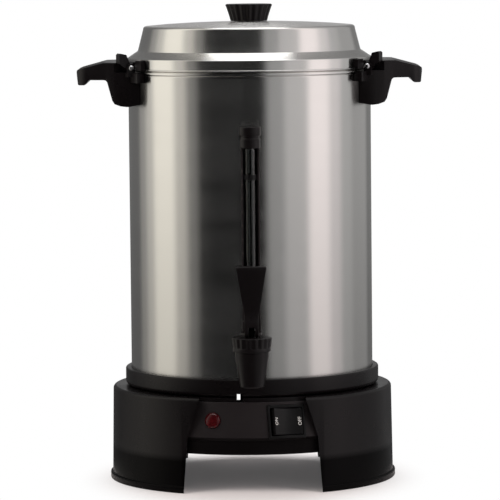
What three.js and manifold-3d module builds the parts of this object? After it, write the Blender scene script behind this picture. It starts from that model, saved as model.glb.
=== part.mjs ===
// Coffee urn: an aluminium percolator urn on a moulded black base, with a self-closing tap,
// a sight gauge, a switch and a pilot lamp in the base, and a pump with its basket inside.
// Units are millimetres, +Z is up and the tap faces -Y. The origin lies on the table, under the
// middle of the whole urn.
import * as THREE from "three";
import { mergeVertices, toCreasedNormals } from "three/addons/utils/BufferGeometryUtils.js";
import Module from "manifold-3d";

const wasm = await Module();
wasm.setup();

// Driving dimensions
const gap = 0.3; // between pieces that touch
const overrun = 4; // how far a cutter passes the face it cuts
const weld = 1e-4; // vertices closer than this are one

// Tank
const tankRadius = 114.3;
const tankWall = 1.2;
const tankHeight = 294.4;
const tankCorner = 4;
const tankBeadHeight = 4.2;
const tankBeadDepth = 0.9;
const wellRadius = 27;
const wellDepth = 8;
const studRadius = 2;
const studLength = 13.5;
const studInset = 6.3;

// Base
const baseSpread = 18.8;
const baseLip = 2.1;
const baseLipHeight = 6;
const baseTaper = 1.3;
const deckHeight = 88;
const baseWall = 3.2;
const deckThickness = 3.5;
const deckWidth = 27.8;
const shoulderRadius = 2.2;
const cutTopWidth = 100;
const cutMiddleWidth = 120;
const cutFootWidth = 128;
const cheekWall = 3;
const cheekReach = 19;
const legReturn = 4;

// Collar between base and tank
const collarLedge = 3.4;
const collarWall = 5.5;
const collarDepth = 13;
const collarRound = 4.5;
const collarChamfer = 1.8;
const notchWidth = 5.3;
const notchOffset = -11.6;
const notchHeight = 3.4;

// Front and rear panels of the base
const panelInset = 4.1;
const panelLean = 9;
const panelHeight = 32.2;
const panelWall = 2.6;
const panelLipDrop = 2.2;
const panelLipDepth = 2;
const panelRimHeight = 2.2;
const panelRimDepth = 1.2;
const ventWidth = 5.2;
const ventHeight = 21;
const ventPitch = 9;
const ventCount = 5;
const ventFirst = -12.5;

// Bottom cover
const coverThickness = 1.5;
const coverDish = 3;
const coverDishRadius = 78;
const apronDepth = 16;
const bossRadius = 5;
const bossEdge = 10.4;
const bossAngle = THREE.MathUtils.degToRad(23.9);
const coverScrewRadius = 1.8;
const coverScrewLength = 22;
const screwHeadRadius = 4;
const screwHeadHeight = 2.2;

// Switch
const switchAngle = THREE.MathUtils.degToRad(14.4);
const switchDrop = 18;
const bezelWidth = 35;
const bezelHeight = 31;
const bezelThickness = 2.2;
const bezelSink = 0.6;
const switchBodyWidth = 32.4;
const switchBodyHeight = 27.8;
const switchBodyDepth = 20;
const rockerLength = 27.8;
const rockerWidth = 24.5;
const rockerRise = 7.5;
const rockerValley = 4.4;
const rockerBelly = 5.5;
const rockerClearance = 0.6;
const rockerPivotDepth = 3.5;
const rockerPinRadius = 1.2;
const rockerPinReach = 0.9;
const rockerTilt = THREE.MathUtils.degToRad(9);

// Pilot lamp
const lampAngle = THREE.MathUtils.degToRad(-17);
const lampDrop = 16.7;
const lensRadius = 7.2;
const lensFlange = 9;
const lensFlangeThickness = 1.4;
const lensCollar = 1.2;
const lensDome = 3.6;
const lampBodyRadius = 6;
const lampBodyLength = 15;

// Power inlet
const inletAngle = THREE.MathUtils.degToRad(-13);
const inletDrop = 18.2;
const inletWidth = 38;
const inletHeight = 24;
const inletFlange = 2.4;
const inletFlangeThickness = 2;
const inletWall = 2.6;
const inletDepth = 17;
const inletFloor = 4;
const inletPinRadius = 2.2;
const inletPinSpacing = 14;
const inletPinLength = 15;

// Heating
const elementCircle = 62;
const elementRadius = 3.6;
const elementGapAngle = THREE.MathUtils.degToRad(26);
const elementDrop = 16;
const thermostatRadius = 9;
const thermostatHeight = 11;
const thermostatPlace = 41;
const bladeWidth = 6;
const bladeThickness = 0.8;
const bladeLength = 9;
const fuseRadius = 2.4;
const fuseLength = 16;
const fuseClipWall = 1;

// Lid
const skirtOverlap = 0.7;
const lidWall = 1.2;
const lidBeadDepth = 0.8;
const lidBeadHeight = 1.6;
const skirtHeight = 10.6;
const coveHeight = 6.9;
const coveWidth = 10.2;
const drumLean = 5;
const drumHeight = 19.8;
const drumRound = 3;
const crownRise = 3.6;
const plugClearance = 0.9;
const plugDepth = 6;

// Lid ears
const earStandoff = 7.2;
const earWidth = 10;
const earDepth = 4;
const earHeight = 9;

// Knob
const knobFootRadius = 17.4;
const knobTopRadius = 21.9;
const knobHeight = 16;
const knobFlutes = 20;
const knobFluteDepth = 0.9;
const knobDish = 2;
const knobWasherRadius = 14;
const knobWasherThickness = 1.4;
const knobScrewRadius = 2.4;
const knobScrewHead = 5;
const knobScrewHeadHeight = 2;
const knobScrewReach = 9;

// Handles
const handleSpan = 47.3;
const handleRise = 7.8;
const handleEndDrop = 6;
const handleEndDepth = 21;
const handleDepth = 16;
const blockDepth = 41.1;
const handleFootRise = 3.2;
const handleLip = 8.5;
const handleShoulder = 22;
const blockElbow = 19.3;
const blockHeel = 14.7;
const handleRootHalf = 52;
const handleArmHalf = 44;
const handleCorner = 12;
const handleHollow = 3.4;
const ledgeDrop = 1.8;
const ledgeWidth = 5.3;
const lugReach = 8.5;
const lugHeight = 9;
const handleScrewSpacing = 44;
const handleScrewRise = 10.9;
const handleScrewRadius = 2.2;
const handleScrewLength = 11;

// Latches
const latchInset = 3.1;
const latchStandoff = 8.3;
const latchRise = 3;
const latchWidth = 9;
const latchHub = 4.2;
const latchTabHeight = 13.6;
const latchTabReach = 10.6;
const latchTabThickness = 7;
const latchSwing = THREE.MathUtils.degToRad(40);
const latchNoseThickness = 2.6;
const latchPinRadius = 1.5;
const latchPinHead = 2.6;
const latchEar = 3;
const latchBore = 0.35;

// Tap
const tapStandoff = 38.7;
const tapRise = 31;
const shankRadius = 6.4;
const shankBore = 4.2;
const shankReach = 10.5;
const spoutLength = 20.5;
const tapBottomRadius = 11.3;
const tapNeckRadius = 15.6;
const tapNeckHeight = 12;
const spoutBore = 7.6;
const seatDrop = 7;
const chamberRadius = 11.6;
const gasketRadius = 12.6;
const gasketThickness = 2.6;
const tapNutWidth = 20;
const tapNutThickness = 5.4;
const webWidth = 15;

// Bonnet
const bonnetRadius = 18.3;
const bonnetFootRadius = 17.3;
const bonnetHeight = 12.6;
const bonnetRingHeight = 3.4;
const bonnetRecess = 8.6;
const bonnetCrown = 3.2;
const bonnetFlutes = 18;
const bonnetFluteDepth = 0.7;
const stemClearance = 0.35;

// Valve
const stemRadius = 2.6;
const stemHead = 4;
const cupRadius = 10;
const cupHeight = 6;
const cupRim = 1.6;
const springCircle = 6;
const springWire = 0.7;
const springTurns = 5;
const springSteps = 6;
const leverPinRadius = 1.4;

// Lever
const leverHeight = 60.1;
const leverTopWidth = 27.5;
const leverWaistWidth = 13.6;
const leverWaistHeight = 17.6;
const leverForkWidth = 12.4;
const leverDepth = 9;
const leverWaistDepth = 7.4;
const leverSlot = 6;
const heelOffset = 6;
const heelRadius = 4.2;
const slotHeight = 12;

// Gauge
const gaugeStandoff = 10.5;
const glassRadius = 5.6;
const glassBore = 4.2;
const glassDrop = 56.4;
const towerRadius = 9.4;
const towerHeight = 14;
const socketDepth = 12;
const glassSealThickness = 2.4;
const guardHalf = 8.4;
const guardWall = 1.6;
const guardFront = 3.6;
const capRadius = 9.9;
const capFootRadius = 9.3;
const capHeight = 20.2;
const capOverlap = 12;
const capGroove = 0.8;
const capVent = 0.9;
const markerDrop = 41;
const markerHeight = 5;
const markerThickness = 0.9;

// Pump, basket and spreader
const pumpRadius = 5;
const pumpWall = 1.1;
const pumpDrop = 0.4;
const pumpFootRadius = 23;
const pumpFootHeight = 9;
const pumpFootWall = 1.2;
const pumpCollarRadius = 9;
const pumpCollarHeight = 3;
const basketInset = 26.3;
const basketWall = 1;
const basketDrop = 118.4;
const basketHeight = 100;
const basketRim = 2.4;
const basketTubeRadius = 7;
const basketHoleRadius = 1.9;
const basketRings = [34, 66];
const basketRingHoles = 10;
const spreaderLip = 6;
const spreaderWall = 1;
const spreaderHoleRadius = 2.2;
const spreaderRings = [30, 60];
const spreaderRingHoles = 8;

// Facets
const ringSides = 36;
const innerSides = 30;
const smallSides = 16;
const screwSides = 8;
const screwHeadSides = 12;
const holeSides = 6;
const fluteSteps = 3;
const fullTurn = 2 * Math.PI;
const quarterTurn = Math.PI / 2;
const arcSteps = 4;
const roundSteps = 2;
const domeSteps = 3;
const boreSides = 32;
const ventSides = 8;
const elementSteps = 14;
const tubeSteps = 36;
const tubeSides = 6;
const springSides = 4;

// Shares of a form's own size
const beadShare = 0.2; // of the tank's bead, at each of its ends
const crownShare = 0.6; // of the drum's radius, where the crown bends
const crownDropShare = 0.3; // of the crown's rise, at that bend
const knobDishShare = 0.7; // of the knob's foot, for the flat of its dish
const nutShares = { width: 4, height: 1.6 }; // of a stud's radius
const screwHeadShares = { crown: 0.7, edge: 0.4 }; // of a screw head's radius and height
const rockerShares = { belly: 0.6, toe: 0.4, valley: 0.3, valleyRise: 0.16 }; // of the rocker
const terminalShare = 0.3; // of the switch body's width, between two terminals
const pinStopShare = 1.6; // of an inlet pin's radius
const elementBendShares = { run: 0.12, drop: 0.6 }; // of a step and of the tube's radius
const clampShare = 0.1; // of a handle screw's radius, for its seat
const blockShares = { foot: 1.8, lip: 1 / 3, lipEdge: 1 / 8 }; // of the foot's rise and the lip
const noseShares = { tip: 1 / 3, edge: 0.6 }; // of the latch nose's thickness
const leverShares = { crown: 1 / 3, shoulder: 1 / 6 }; // of the lever's depth
const bellShares = { neck: 1.6, rim: 1 / 4, throat: 1 / 3 }; // of the pump's radius and foot
const flareShare = 1.6; // of the pump collar's height, for the slope below it
const ventDropShare = 1 / 8; // of a vent's height, below the middle of its panel

// Places worked out from the driving dimensions: the base and the tank
const tankUnderside = deckHeight + collarLedge + 2 * gap;
const tankRim = tankUnderside + tankHeight;
const tankBore = tankRadius - tankWall;
const studCircle = tankRadius - studInset;
const baseRadius = tankRadius + baseSpread;
const baseLipRadius = baseRadius + baseLip;
const baseTopRadius = baseRadius - baseTaper;
const deckUnderside = deckHeight - deckThickness;
const deckBore = baseTopRadius - deckWidth;
const collarFoot = deckHeight + gap;
const collarRadius = tankRadius + collarWall;
const collarTop = tankUnderside + collarDepth;
const panelTop = deckUnderside - gap;
const panelLip = panelTop - panelHeight;
const panelLipRadius = baseRadius - panelInset;
const panelTopRadius = panelLipRadius - panelLean;
const panelApronRadius = panelLipRadius - panelLipDepth;
const panelSlope = Math.atan2(panelLean, panelHeight);
const coverLevel = panelLip - apronDepth;
const panelFoot = coverLevel + gap;
const coverTop = coverLevel + coverThickness;
const coverRadius = panelApronRadius - panelWall - gap;
const bossCircle = coverRadius - bossEdge;
const switchLevel = panelTop - switchDrop;
const lampLevel = panelTop - lampDrop;
const inletLevel = panelTop - inletDrop;

// Places on the lid, the handles and the latches
const lidFoot = tankRim + gap;
const skirtRadius = tankRadius + skirtOverlap;
const skirtTop = lidFoot + skirtHeight;
const drumFootRadius = skirtRadius - coveWidth;
const drumRadius = drumFootRadius - drumLean;
const drumFoot = skirtTop + coveHeight;
const drumTop = drumFoot + drumHeight;
const crownTop = drumTop + drumRound + crownRise;
const knobFoot = crownTop + 2 * gap;
const washerTop = crownTop + gap + knobWasherThickness;
const handleSeat = tankRadius + gap;
const handleReach = tankRadius + handleSpan;
const handleTop = tankRim + handleRise;
const handleEndTop = handleTop - handleEndDrop;
const handleEndFoot = handleTop - handleEndDepth;
const handleUnderside = handleTop - handleDepth;
const handleFoot = handleTop - blockDepth;
const handleBreak = tankRadius + handleShoulder;
const handleElbow = tankRadius + blockElbow;
const handleHeel = tankRadius + blockHeel;
const handleLedge = tankRim - ledgeDrop;
const handleLedgeRadius = tankRadius + ledgeWidth;
const handleScrewLevel = handleFoot + handleScrewRise;
const latchPivotRadius = tankRadius + latchStandoff;
const latchAngle = Math.asin((handleRootHalf - latchInset) / latchPivotRadius);
const earAngle = Math.asin((handleRootHalf + earStandoff) / skirtRadius);
const latchPivotLevel = tankRim + latchRise;
const latchNoseReach = latchPivotRadius - skirtRadius - gap;
const latchNoseLift = lidFoot + lidBeadHeight + gap - latchPivotLevel;

// Places on the tap, the gauge and the pump
const tapAxis = tankRadius + tapStandoff;
const tapLevel = tankUnderside + tapRise;
const tapBottom = tapLevel - spoutLength;
const tapTop = tapLevel + tapNeckHeight;
const tapBack = tankRadius + gasketThickness + 2 * gap;
const seatLevel = tapLevel - seatDrop;
const bonnetTop = tapTop + gap + bonnetHeight;
const pinLevel = bonnetTop + gap + heelRadius;
const leverTop = pinLevel + leverHeight;
const leverWaist = pinLevel + leverWaistHeight;
const gaugeAxis = tankRadius + gaugeStandoff;
const towerTop = tapTop + towerHeight;
const glassFoot = towerTop - socketDepth + glassSealThickness + 2 * gap;
const glassTop = tankRim - glassDrop;
const capBottom = glassTop - capOverlap;
const capTop = capBottom + capHeight;
const markerLevel = glassTop - markerDrop;
const pumpFoot = tankUnderside - wellDepth + tankWall + gap;
const pumpTop = tankRim - pumpDrop;
const basketRadius = tankRadius - basketInset;
const basketFloor = tankRim - basketDrop;
const basketSeat = basketFloor - gap;

// Materials, with the colours of the photograph
function finish(name, color, roughness, metalness) {
  return new THREE.MeshStandardMaterial({ name, color, roughness, metalness });
}
const polishedAluminium = finish("polished aluminium", 0xc9c6c2, 0.22, 1);
const plainAluminium = finish("plain aluminium", 0xb5b4b2, 0.4, 1);
const blackPhenolic = finish("black phenolic", 0x1c1a1b, 0.38, 0);
const blackNylon = finish("black nylon", 0x161515, 0.5, 0);
const redLens = finish("red lens", 0x7c1014, 0.15, 0);
const clearGlass = new THREE.MeshStandardMaterial({
  name: "clear glass",
  color: 0xe6eaea,
  roughness: 0.05,
  metalness: 0,
  transparent: true,
  opacity: 0.35,
});
const steel = finish("zinc plated steel", 0xa9aaac, 0.35, 1);
const stainless = finish("stainless steel", 0xb4b4b6, 0.25, 1);
const silicone = finish("silicone rubber", 0xd8d2c6, 0.7, 0);
const sheathedMetal = finish("sheathed heating tube", 0x6d675f, 0.55, 1);
const brass = finish("brass", 0xb79a55, 0.35, 1);

// Geometry helpers. Each takes and gives plain three.js geometry.
function solidOf(geometry) {
  const bare = geometry.index ? geometry.toNonIndexed() : geometry.clone();
  bare.deleteAttribute("normal");
  bare.deleteAttribute("uv");
  const merged = mergeVertices(bare, weld);
  const solid = new wasm.Manifold(
    new wasm.Mesh({
      numProp: 3,
      vertProperties: merged.attributes.position.array,
      triVerts: new Uint32Array(merged.index.array),
    }),
  );
  return solid;
}

function geometryOf(solid) {
  const mesh = solid.getMesh();
  const geometry = new THREE.BufferGeometry();
  geometry.setAttribute("position", new THREE.BufferAttribute(mesh.vertProperties, mesh.numProp));
  geometry.setIndex(new THREE.BufferAttribute(mesh.triVerts, 1));
  return geometry;
}

function cut(body, ...tools) {
  return geometryOf(tools.reduce((solid, tool) => solid.subtract(solidOf(tool)), solidOf(body)));
}

function join(body, ...others) {
  return geometryOf(others.reduce((solid, other) => solid.add(solidOf(other)), solidOf(body)));
}

function common(body, ...others) {
  return geometryOf(others.reduce((solid, other) => solid.intersect(solidOf(other)), solidOf(body)));
}

// A body of revolution about Z from an outline of [radius, height] points that runs outside first
// from the bottom up.
function revolve(outline, sides = ringSides) {
  const onAxis = outline[0][0] === 0;
  const points = outline.map(([radius, height]) => new THREE.Vector2(radius, height));
  if (!onAxis) points.push(points[0].clone());
  return new THREE.LatheGeometry(points, sides).rotateX(quarterTurn);
}

// An outline in X and Y, raised along Z from one level to another.
function prism(outline, low, high) {
  const shape = new THREE.Shape(outline.map(([x, y]) => new THREE.Vector2(x, y)));
  const geometry = new THREE.ExtrudeGeometry(shape, { depth: high - low, bevelEnabled: false });
  return geometry.translate(0, 0, low);
}

// An outline in X and Z, carried along Y.
function prismAlongY(outline, back, front) {
  return prism(outline, -front, -back).rotateX(quarterTurn);
}

// An outline in Y and Z, carried along X.
function prismAlongX(outline, low, high) {
  const turn = new THREE.Matrix4().makeBasis(
    new THREE.Vector3(0, 1, 0),
    new THREE.Vector3(0, 0, 1),
    new THREE.Vector3(1, 0, 0),
  );
  return prism(outline, low, high).applyMatrix4(turn);
}

function box(width, depth, height, x = 0, y = 0, z = 0) {
  return new THREE.BoxGeometry(width, depth, height).translate(x, y, z);
}

function rod(radius, low, high, sides = smallSides, topRadius = radius) {
  const geometry = new THREE.CylinderGeometry(topRadius, radius, high - low, sides);
  return geometry.rotateX(quarterTurn).translate(0, 0, (low + high) / 2);
}

function rodAlongY(radius, back, front, sides = smallSides) {
  return rod(radius, -front, -back, sides).rotateX(quarterTurn);
}

function rodAlongX(radius, low, high, sides = smallSides) {
  return rod(radius, low, high, sides).rotateY(quarterTurn);
}

// Points of an arc in an outline, angles in quarter turns from the outward direction.
function arc(x, z, radius, from, to, steps = arcSteps) {
  return Array.from({ length: steps + 1 }, (_, i) => {
    const angle = (from + ((to - from) * i) / steps) * quarterTurn;
    return [x + radius * Math.cos(angle), z + radius * Math.sin(angle)];
  });
}

function rectangle(width, height, x = 0, y = 0) {
  return [
    [x - width / 2, y - height / 2],
    [x + width / 2, y - height / 2],
    [x + width / 2, y + height / 2],
    [x - width / 2, y + height / 2],
  ];
}

function turned(geometry, angle) {
  return geometry.clone().rotateZ(angle);
}

function mirroredX(outline) {
  return outline.map(([x, y]) => [-x, y]).reverse();
}

// A fluted round: its radius goes in and out round the edge, and it can widen upwards.
function fluted(footRadius, topRadius, low, high, flutes, depth) {
  const steps = flutes * fluteSteps;
  const outline = Array.from({ length: steps }, (_, i) => {
    const angle = (i / steps) * fullTurn;
    const radius = footRadius - (depth * (1 - Math.cos(angle * flutes))) / 2;
    return [radius * Math.cos(angle), radius * Math.sin(angle)];
  });
  const geometry = prism(outline, low, high);
  const place = geometry.attributes.position;
  for (let i = 0; i < place.count; i += 1) {
    const share = (place.getZ(i) - low) / (high - low);
    const widening = 1 + (topRadius / footRadius - 1) * share;
    place.setXY(i, place.getX(i) * widening, place.getY(i) * widening);
  }
  return geometry;
}

function hexagon(width) {
  const corner = width / Math.sqrt(3);
  return Array.from({ length: 6 }, (_, i) => {
    const angle = (i / 6) * fullTurn;
    return [corner * Math.cos(angle), corner * Math.sin(angle)];
  });
}

// The urn is one group of named meshes about the tank's axis.
const urn = new THREE.Group();
urn.name = "coffee_urn";

function piece(name, geometry, material, parent = urn) {
  const mesh = new THREE.Mesh(toCreasedNormals(geometry, quarterTurn / 3), material);
  mesh.name = name;
  parent.add(mesh);
  return mesh;
}

// Tank: drawn in one piece, with a well for the pump, a rolled bead and three studs below.
function tank() {
  const well = tankUnderside - wellDepth;
  const shell = revolve([
    [0, well],
    [wellRadius, well],
    [wellRadius + tankWall, tankUnderside],
    ...arc(tankRadius - tankCorner, tankUnderside + tankCorner, tankCorner, -1, 0, roundSteps),
    [tankRadius, tankRim - tankBeadHeight],
    [tankRadius + tankBeadDepth, tankRim - tankBeadHeight * (1 - beadShare)],
    [tankRadius + tankBeadDepth, tankRim - tankBeadHeight * beadShare],
    [tankRadius, tankRim],
    [tankBore, tankRim],
    ...arc(tankRadius - tankCorner, tankUnderside + tankCorner, tankCorner - tankWall, 0, -1, roundSteps),
    [wellRadius, tankUnderside + tankWall],
    [wellRadius - tankWall, well + tankWall],
    [0, well + tankWall],
  ]);
  const studs = studAngles.map((angle) => turned(stud(), angle));
  const tapHole = rodAlongY(shankRadius + gap, -tankRadius - overrun, -tankBore + overrun).translate(
    0,
    0,
    tapLevel,
  );
  const holes = handleScrewPlaces().map(({ angle }) =>
    turned(
      rodAlongX(handleScrewRadius + gap, tankBore - overrun, tankRadius + overrun, screwSides),
      angle,
    ).translate(0, 0, handleScrewLevel),
  );
  return cut(join(shell, ...studs), tapHole, ...holes);
}

const studAngles = [0, 1, 2].map((i) => quarterTurn + (i / 3) * fullTurn);

function stud() {
  return rod(studRadius, tankUnderside - studLength, tankUnderside + tankWall / 2, screwSides).translate(
    studCircle,
    0,
    0,
  );
}

function tankNut() {
  const high = deckUnderside - gap;
  const low = high - studRadius * nutShares.height;
  const body = prism(hexagon(studRadius * nutShares.width), low, high);
  const bore = rod(studRadius + gap, low - overrun, high + overrun, screwSides);
  return cut(body, bore).translate(studCircle, 0, 0);
}

function studBores(low, high) {
  const bore = rod(studRadius + gap, low, high, screwSides).translate(studCircle, 0, 0);
  return studAngles.map((angle) => turned(bore, angle));
}

function handleScrewPlaces() {
  const half = Math.asin(handleScrewSpacing / 2 / tankRadius);
  return [
    { name: "handle_screw_right_front", angle: -half },
    { name: "handle_screw_right_rear", angle: half },
    { name: "handle_screw_left_front", angle: Math.PI + half },
    { name: "handle_screw_left_rear", angle: Math.PI - half },
  ];
}

piece("tank", tank(), polishedAluminium);
studAngles.forEach((angle, i) => {
  piece(`tank_nut_${i + 1}`, turned(tankNut(), angle), steel);
});

// Outlines of the two cut-outs of the base, in X and Z, as half widths that grow towards the table.
function cutOutline(inset, low, high) {
  const widthAt = (z) => {
    const share = (z - panelLip) / (panelTop - panelLip);
    const foot = z / panelLip;
    return z > panelLip
      ? cutMiddleWidth + (cutTopWidth - cutMiddleWidth) * share
      : cutFootWidth + (cutMiddleWidth - cutFootWidth) * foot;
  };
  const levels = [low, panelLip, high];
  const right = levels.map((z) => [widthAt(z) / 2 - inset, z]);
  return [...right, ...mirroredX(right)];
}

// Base shell: two side legs joined by a deck ring, with cheeks that line the front and rear cut-outs.
function baseShell() {
  const inner = baseTopRadius - baseWall;
  const shell = revolve([
    [baseRadius - baseWall, 0],
    [baseLipRadius, 0],
    [baseLipRadius, baseLipHeight],
    [baseRadius, baseLipHeight + baseLipRadius - baseRadius],
    ...arc(baseTopRadius - shoulderRadius, deckHeight - shoulderRadius, shoulderRadius, 0, 1, roundSteps),
    [deckBore, deckHeight],
    [deckBore, deckUnderside],
    [inner, deckUnderside],
  ]);
  const annulus = (outer, bore, low, high) =>
    revolve([
      [bore, low],
      [outer, low],
      [outer, high],
      [bore, high],
    ]);
  const outside = baseRadius - baseWall / 2;
  const frontAndRear = (outline) => prismAlongY(outline, -baseLipRadius - overrun, baseLipRadius + overrun);
  const around = frontAndRear(cutOutline(-cheekWall, -overrun, deckUnderside + weld));
  const high = deckHeight - gap;
  const upper = common(around, annulus(outside, outside - cheekReach, coverTop + overrun, high));
  const lower = common(around, annulus(outside, outside - legReturn, 0, high));
  const opening = frontAndRear(cutOutline(0, -overrun, deckHeight + overrun));
  const core = rod(collarRadius, deckUnderside - gap, deckHeight + 2 * overrun, ringSides);
  const bosses = bossPlaces.map(([x, y]) =>
    rod(bossRadius, coverTop + gap, deckHeight - gap, smallSides).translate(x, y, 0),
  );
  const pilotTop = coverTop + coverScrewLength + overrun;
  const pilots = bossPlaces.map(([x, y]) =>
    rod(coverScrewRadius + gap, coverLevel - overrun, pilotTop, screwSides).translate(x, y, 0),
  );
  const studHoles = studBores(deckUnderside - overrun, deckHeight + overrun);
  return cut(
    join(shell, upper, lower, ...bosses),
    cut(opening, core),
    ...pilots,
    ...studHoles,
    notch(),
  );
}

const bossPlaces = [-bossAngle, bossAngle, Math.PI - bossAngle, Math.PI + bossAngle].map((angle) => [
  bossCircle * Math.cos(angle),
  bossCircle * Math.sin(angle),
]);

// The narrow notch above the front panel that lets the air into the base.
function notch() {
  const low = deckUnderside - overrun;
  const high = collarFoot + notchHeight;
  const depth = collarRadius - deckBore + 2 * overrun;
  return box(
    notchWidth,
    depth,
    high - low,
    notchOffset,
    -(deckBore + collarRadius) / 2,
    (high + low) / 2,
  );
}

function baseCollar() {
  const ledge = tankUnderside - gap;
  const bore = tankRadius + gap;
  const ring = revolve([
    [deckBore, collarFoot],
    ...arc(collarRadius - collarRound, collarFoot + collarRound, collarRound, -1, 0, roundSteps),
    [collarRadius, collarTop - collarChamfer],
    [collarRadius - collarChamfer, collarTop],
    [bore, collarTop],
    ...arc(tankRadius - tankCorner, tankUnderside + tankCorner, tankCorner + gap, 0, -1, roundSteps),
    [deckBore, ledge],
  ]);
  return cut(ring, notch(), ...studBores(collarFoot - overrun, tankUnderside + overrun));
}

piece("base_shell", baseShell(), blackPhenolic);
piece("base_collar", baseCollar(), blackPhenolic);

// A frame on the sloping face of a panel: its Z points out of the face and its Y up the slope.
function panelFrame(angle, level) {
  const share = (panelTop - level) / (panelTop - panelLip);
  const radius = panelTopRadius + (panelLipRadius - panelTopRadius) * share;
  const out = new THREE.Vector3(Math.sin(angle), -Math.cos(angle), 0);
  const right = new THREE.Vector3(Math.cos(angle), Math.sin(angle), 0);
  const up = new THREE.Vector3(0, 0, 1);
  const normal = out.clone().multiplyScalar(Math.cos(panelSlope)).addScaledVector(up, Math.sin(panelSlope));
  const along = up.clone().multiplyScalar(Math.cos(panelSlope)).addScaledVector(out, -Math.sin(panelSlope));
  const frame = new THREE.Matrix4().makeBasis(right, along, normal);
  frame.setPosition(out.multiplyScalar(radius).addScaledVector(up, level));
  return frame;
}

// Panels: a sloping curved face over a lip, with an apron below and a foot that stands on the cover.
function panelBlank() {
  const flange = coverTop + gap;
  const inner = panelApronRadius - panelWall;
  const ring = revolve([
    [inner, panelFoot],
    [panelApronRadius, panelFoot],
    [panelApronRadius, panelLip - panelLipDrop],
    [panelLipRadius, panelLip],
    [panelTopRadius + panelRimDepth, panelTop - panelRimHeight],
    [panelTopRadius + panelRimDepth, panelTop],
    [panelTopRadius - panelWall, panelTop],
    [panelLipRadius - panelWall, panelLip],
    [inner, panelLip - panelWall],
    [inner, flange + panelWall],
    [inner - cheekReach / 2, flange + panelWall],
    [inner - cheekReach / 2, flange],
    [inner, flange],
  ]);
  const outline = cutOutline(gap * 1.5, panelFoot - overrun, panelTop + overrun);
  return common(ring, prismAlongY(outline, -baseLipRadius, -deckBore + cheekReach));
}

function controlPanel() {
  const switchHole = box(
    switchBodyWidth + 2 * gap,
    switchBodyHeight + 2 * gap,
    switchBodyDepth,
  ).applyMatrix4(panelFrame(switchAngle, switchLevel));
  const recess = box(
    bezelWidth + 2 * gap,
    bezelHeight + 2 * gap,
    overrun,
    0,
    0,
    overrun / 2 - bezelSink - gap,
  ).applyMatrix4(panelFrame(switchAngle, switchLevel));
  const lampHole = rod(lensRadius + gap, -switchBodyDepth / 2, switchBodyDepth / 2).applyMatrix4(
    panelFrame(lampAngle, lampLevel),
  );
  return cut(panelBlank(), switchHole, recess, lampHole);
}

function rearPanel() {
  const inletHole = box(inletWidth + 2 * gap, inletHeight + 2 * gap, switchBodyDepth).applyMatrix4(
    panelFrame(inletAngle, inletLevel),
  );
  const recess = box(
    inletWidth + 2 * inletFlange + 2 * gap,
    inletHeight + 2 * inletFlange + 2 * gap,
    overrun,
    0,
    0,
    overrun / 2 - bezelSink - gap,
  ).applyMatrix4(panelFrame(inletAngle, inletLevel));
  const vents = Array.from({ length: ventCount }, (_, i) =>
    box(
      ventWidth,
      2 * baseLipRadius - 2 * deckBore,
      ventHeight,
      -ventFirst + i * ventPitch,
      -baseLipRadius,
      (panelTop + panelLip) / 2 - ventHeight * ventDropShare,
    ),
  );
  return turned(cut(panelBlank(), inletHole, recess, ...vents), Math.PI);
}

piece("control_panel", controlPanel(), blackPhenolic);
piece("rear_panel", rearPanel(), blackPhenolic);

// Bottom cover: a pressed steel disc held by four screws.
function bottomCover() {
  const disc = revolve([
    [0, coverLevel + coverDish],
    [coverDishRadius, coverLevel + coverDish],
    [coverDishRadius + coverDish, coverLevel],
    [coverRadius, coverLevel],
    [coverRadius, coverTop],
    [coverDishRadius + coverDish, coverTop],
    [coverDishRadius, coverTop + coverDish],
    [0, coverTop + coverDish],
  ]);
  const holes = bossPlaces.map(([x, y]) =>
    rod(coverScrewRadius + gap, coverLevel - overrun, coverTop + overrun, screwSides).translate(x, y, 0),
  );
  return cut(disc, ...holes);
}

function panScrew(radius, headRadius, headHeight, length) {
  return join(
    rod(radius, -gap / 2, length, screwSides),
    revolve(
      [
        [0, -headHeight],
        [headRadius * screwHeadShares.crown, -headHeight],
        [headRadius, -headHeight * screwHeadShares.edge],
        [headRadius, 0],
        [0, 0],
      ],
      screwHeadSides,
    ),
  );
}

piece("bottom_cover", bottomCover(), steel);
bossPlaces.forEach(([x, y], i) => {
  const screw = panScrew(coverScrewRadius, screwHeadRadius, screwHeadHeight, coverScrewLength);
  piece(`cover_screw_${i + 1}`, screw.translate(x, y, coverLevel - gap), steel);
});

// Switch: a housing with a bezel, and a rocker that rocks about an upright pin.
function switchHousing() {
  const window = box(
    rockerLength + 4 * rockerClearance,
    rockerWidth + 2 * rockerClearance,
    2 * (rockerPivotDepth + rockerBelly + 4 * rockerClearance),
  );
  const bezel = box(bezelWidth, bezelHeight, bezelThickness, 0, 0, bezelThickness / 2 - bezelSink);
  const body = box(
    switchBodyWidth,
    switchBodyHeight,
    switchBodyDepth,
    0,
    0,
    -bezelSink - switchBodyDepth / 2 + gap,
  );
  const blades = [-1, 0, 1].map((place) =>
    box(
      bladeThickness,
      bladeWidth,
      bladeLength * 2,
      place * switchBodyWidth * terminalShare,
      0,
      -switchBodyDepth,
    ),
  );
  const reach = rockerWidth / 2 + rockerClearance + rockerPinReach;
  const pinHoles = rod(rockerPinRadius + gap, -reach, reach, screwSides)
    .rotateX(quarterTurn)
    .translate(0, 0, -rockerPivotDepth);
  return join(cut(join(bezel, body), window, pinHoles), ...blades);
}

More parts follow.
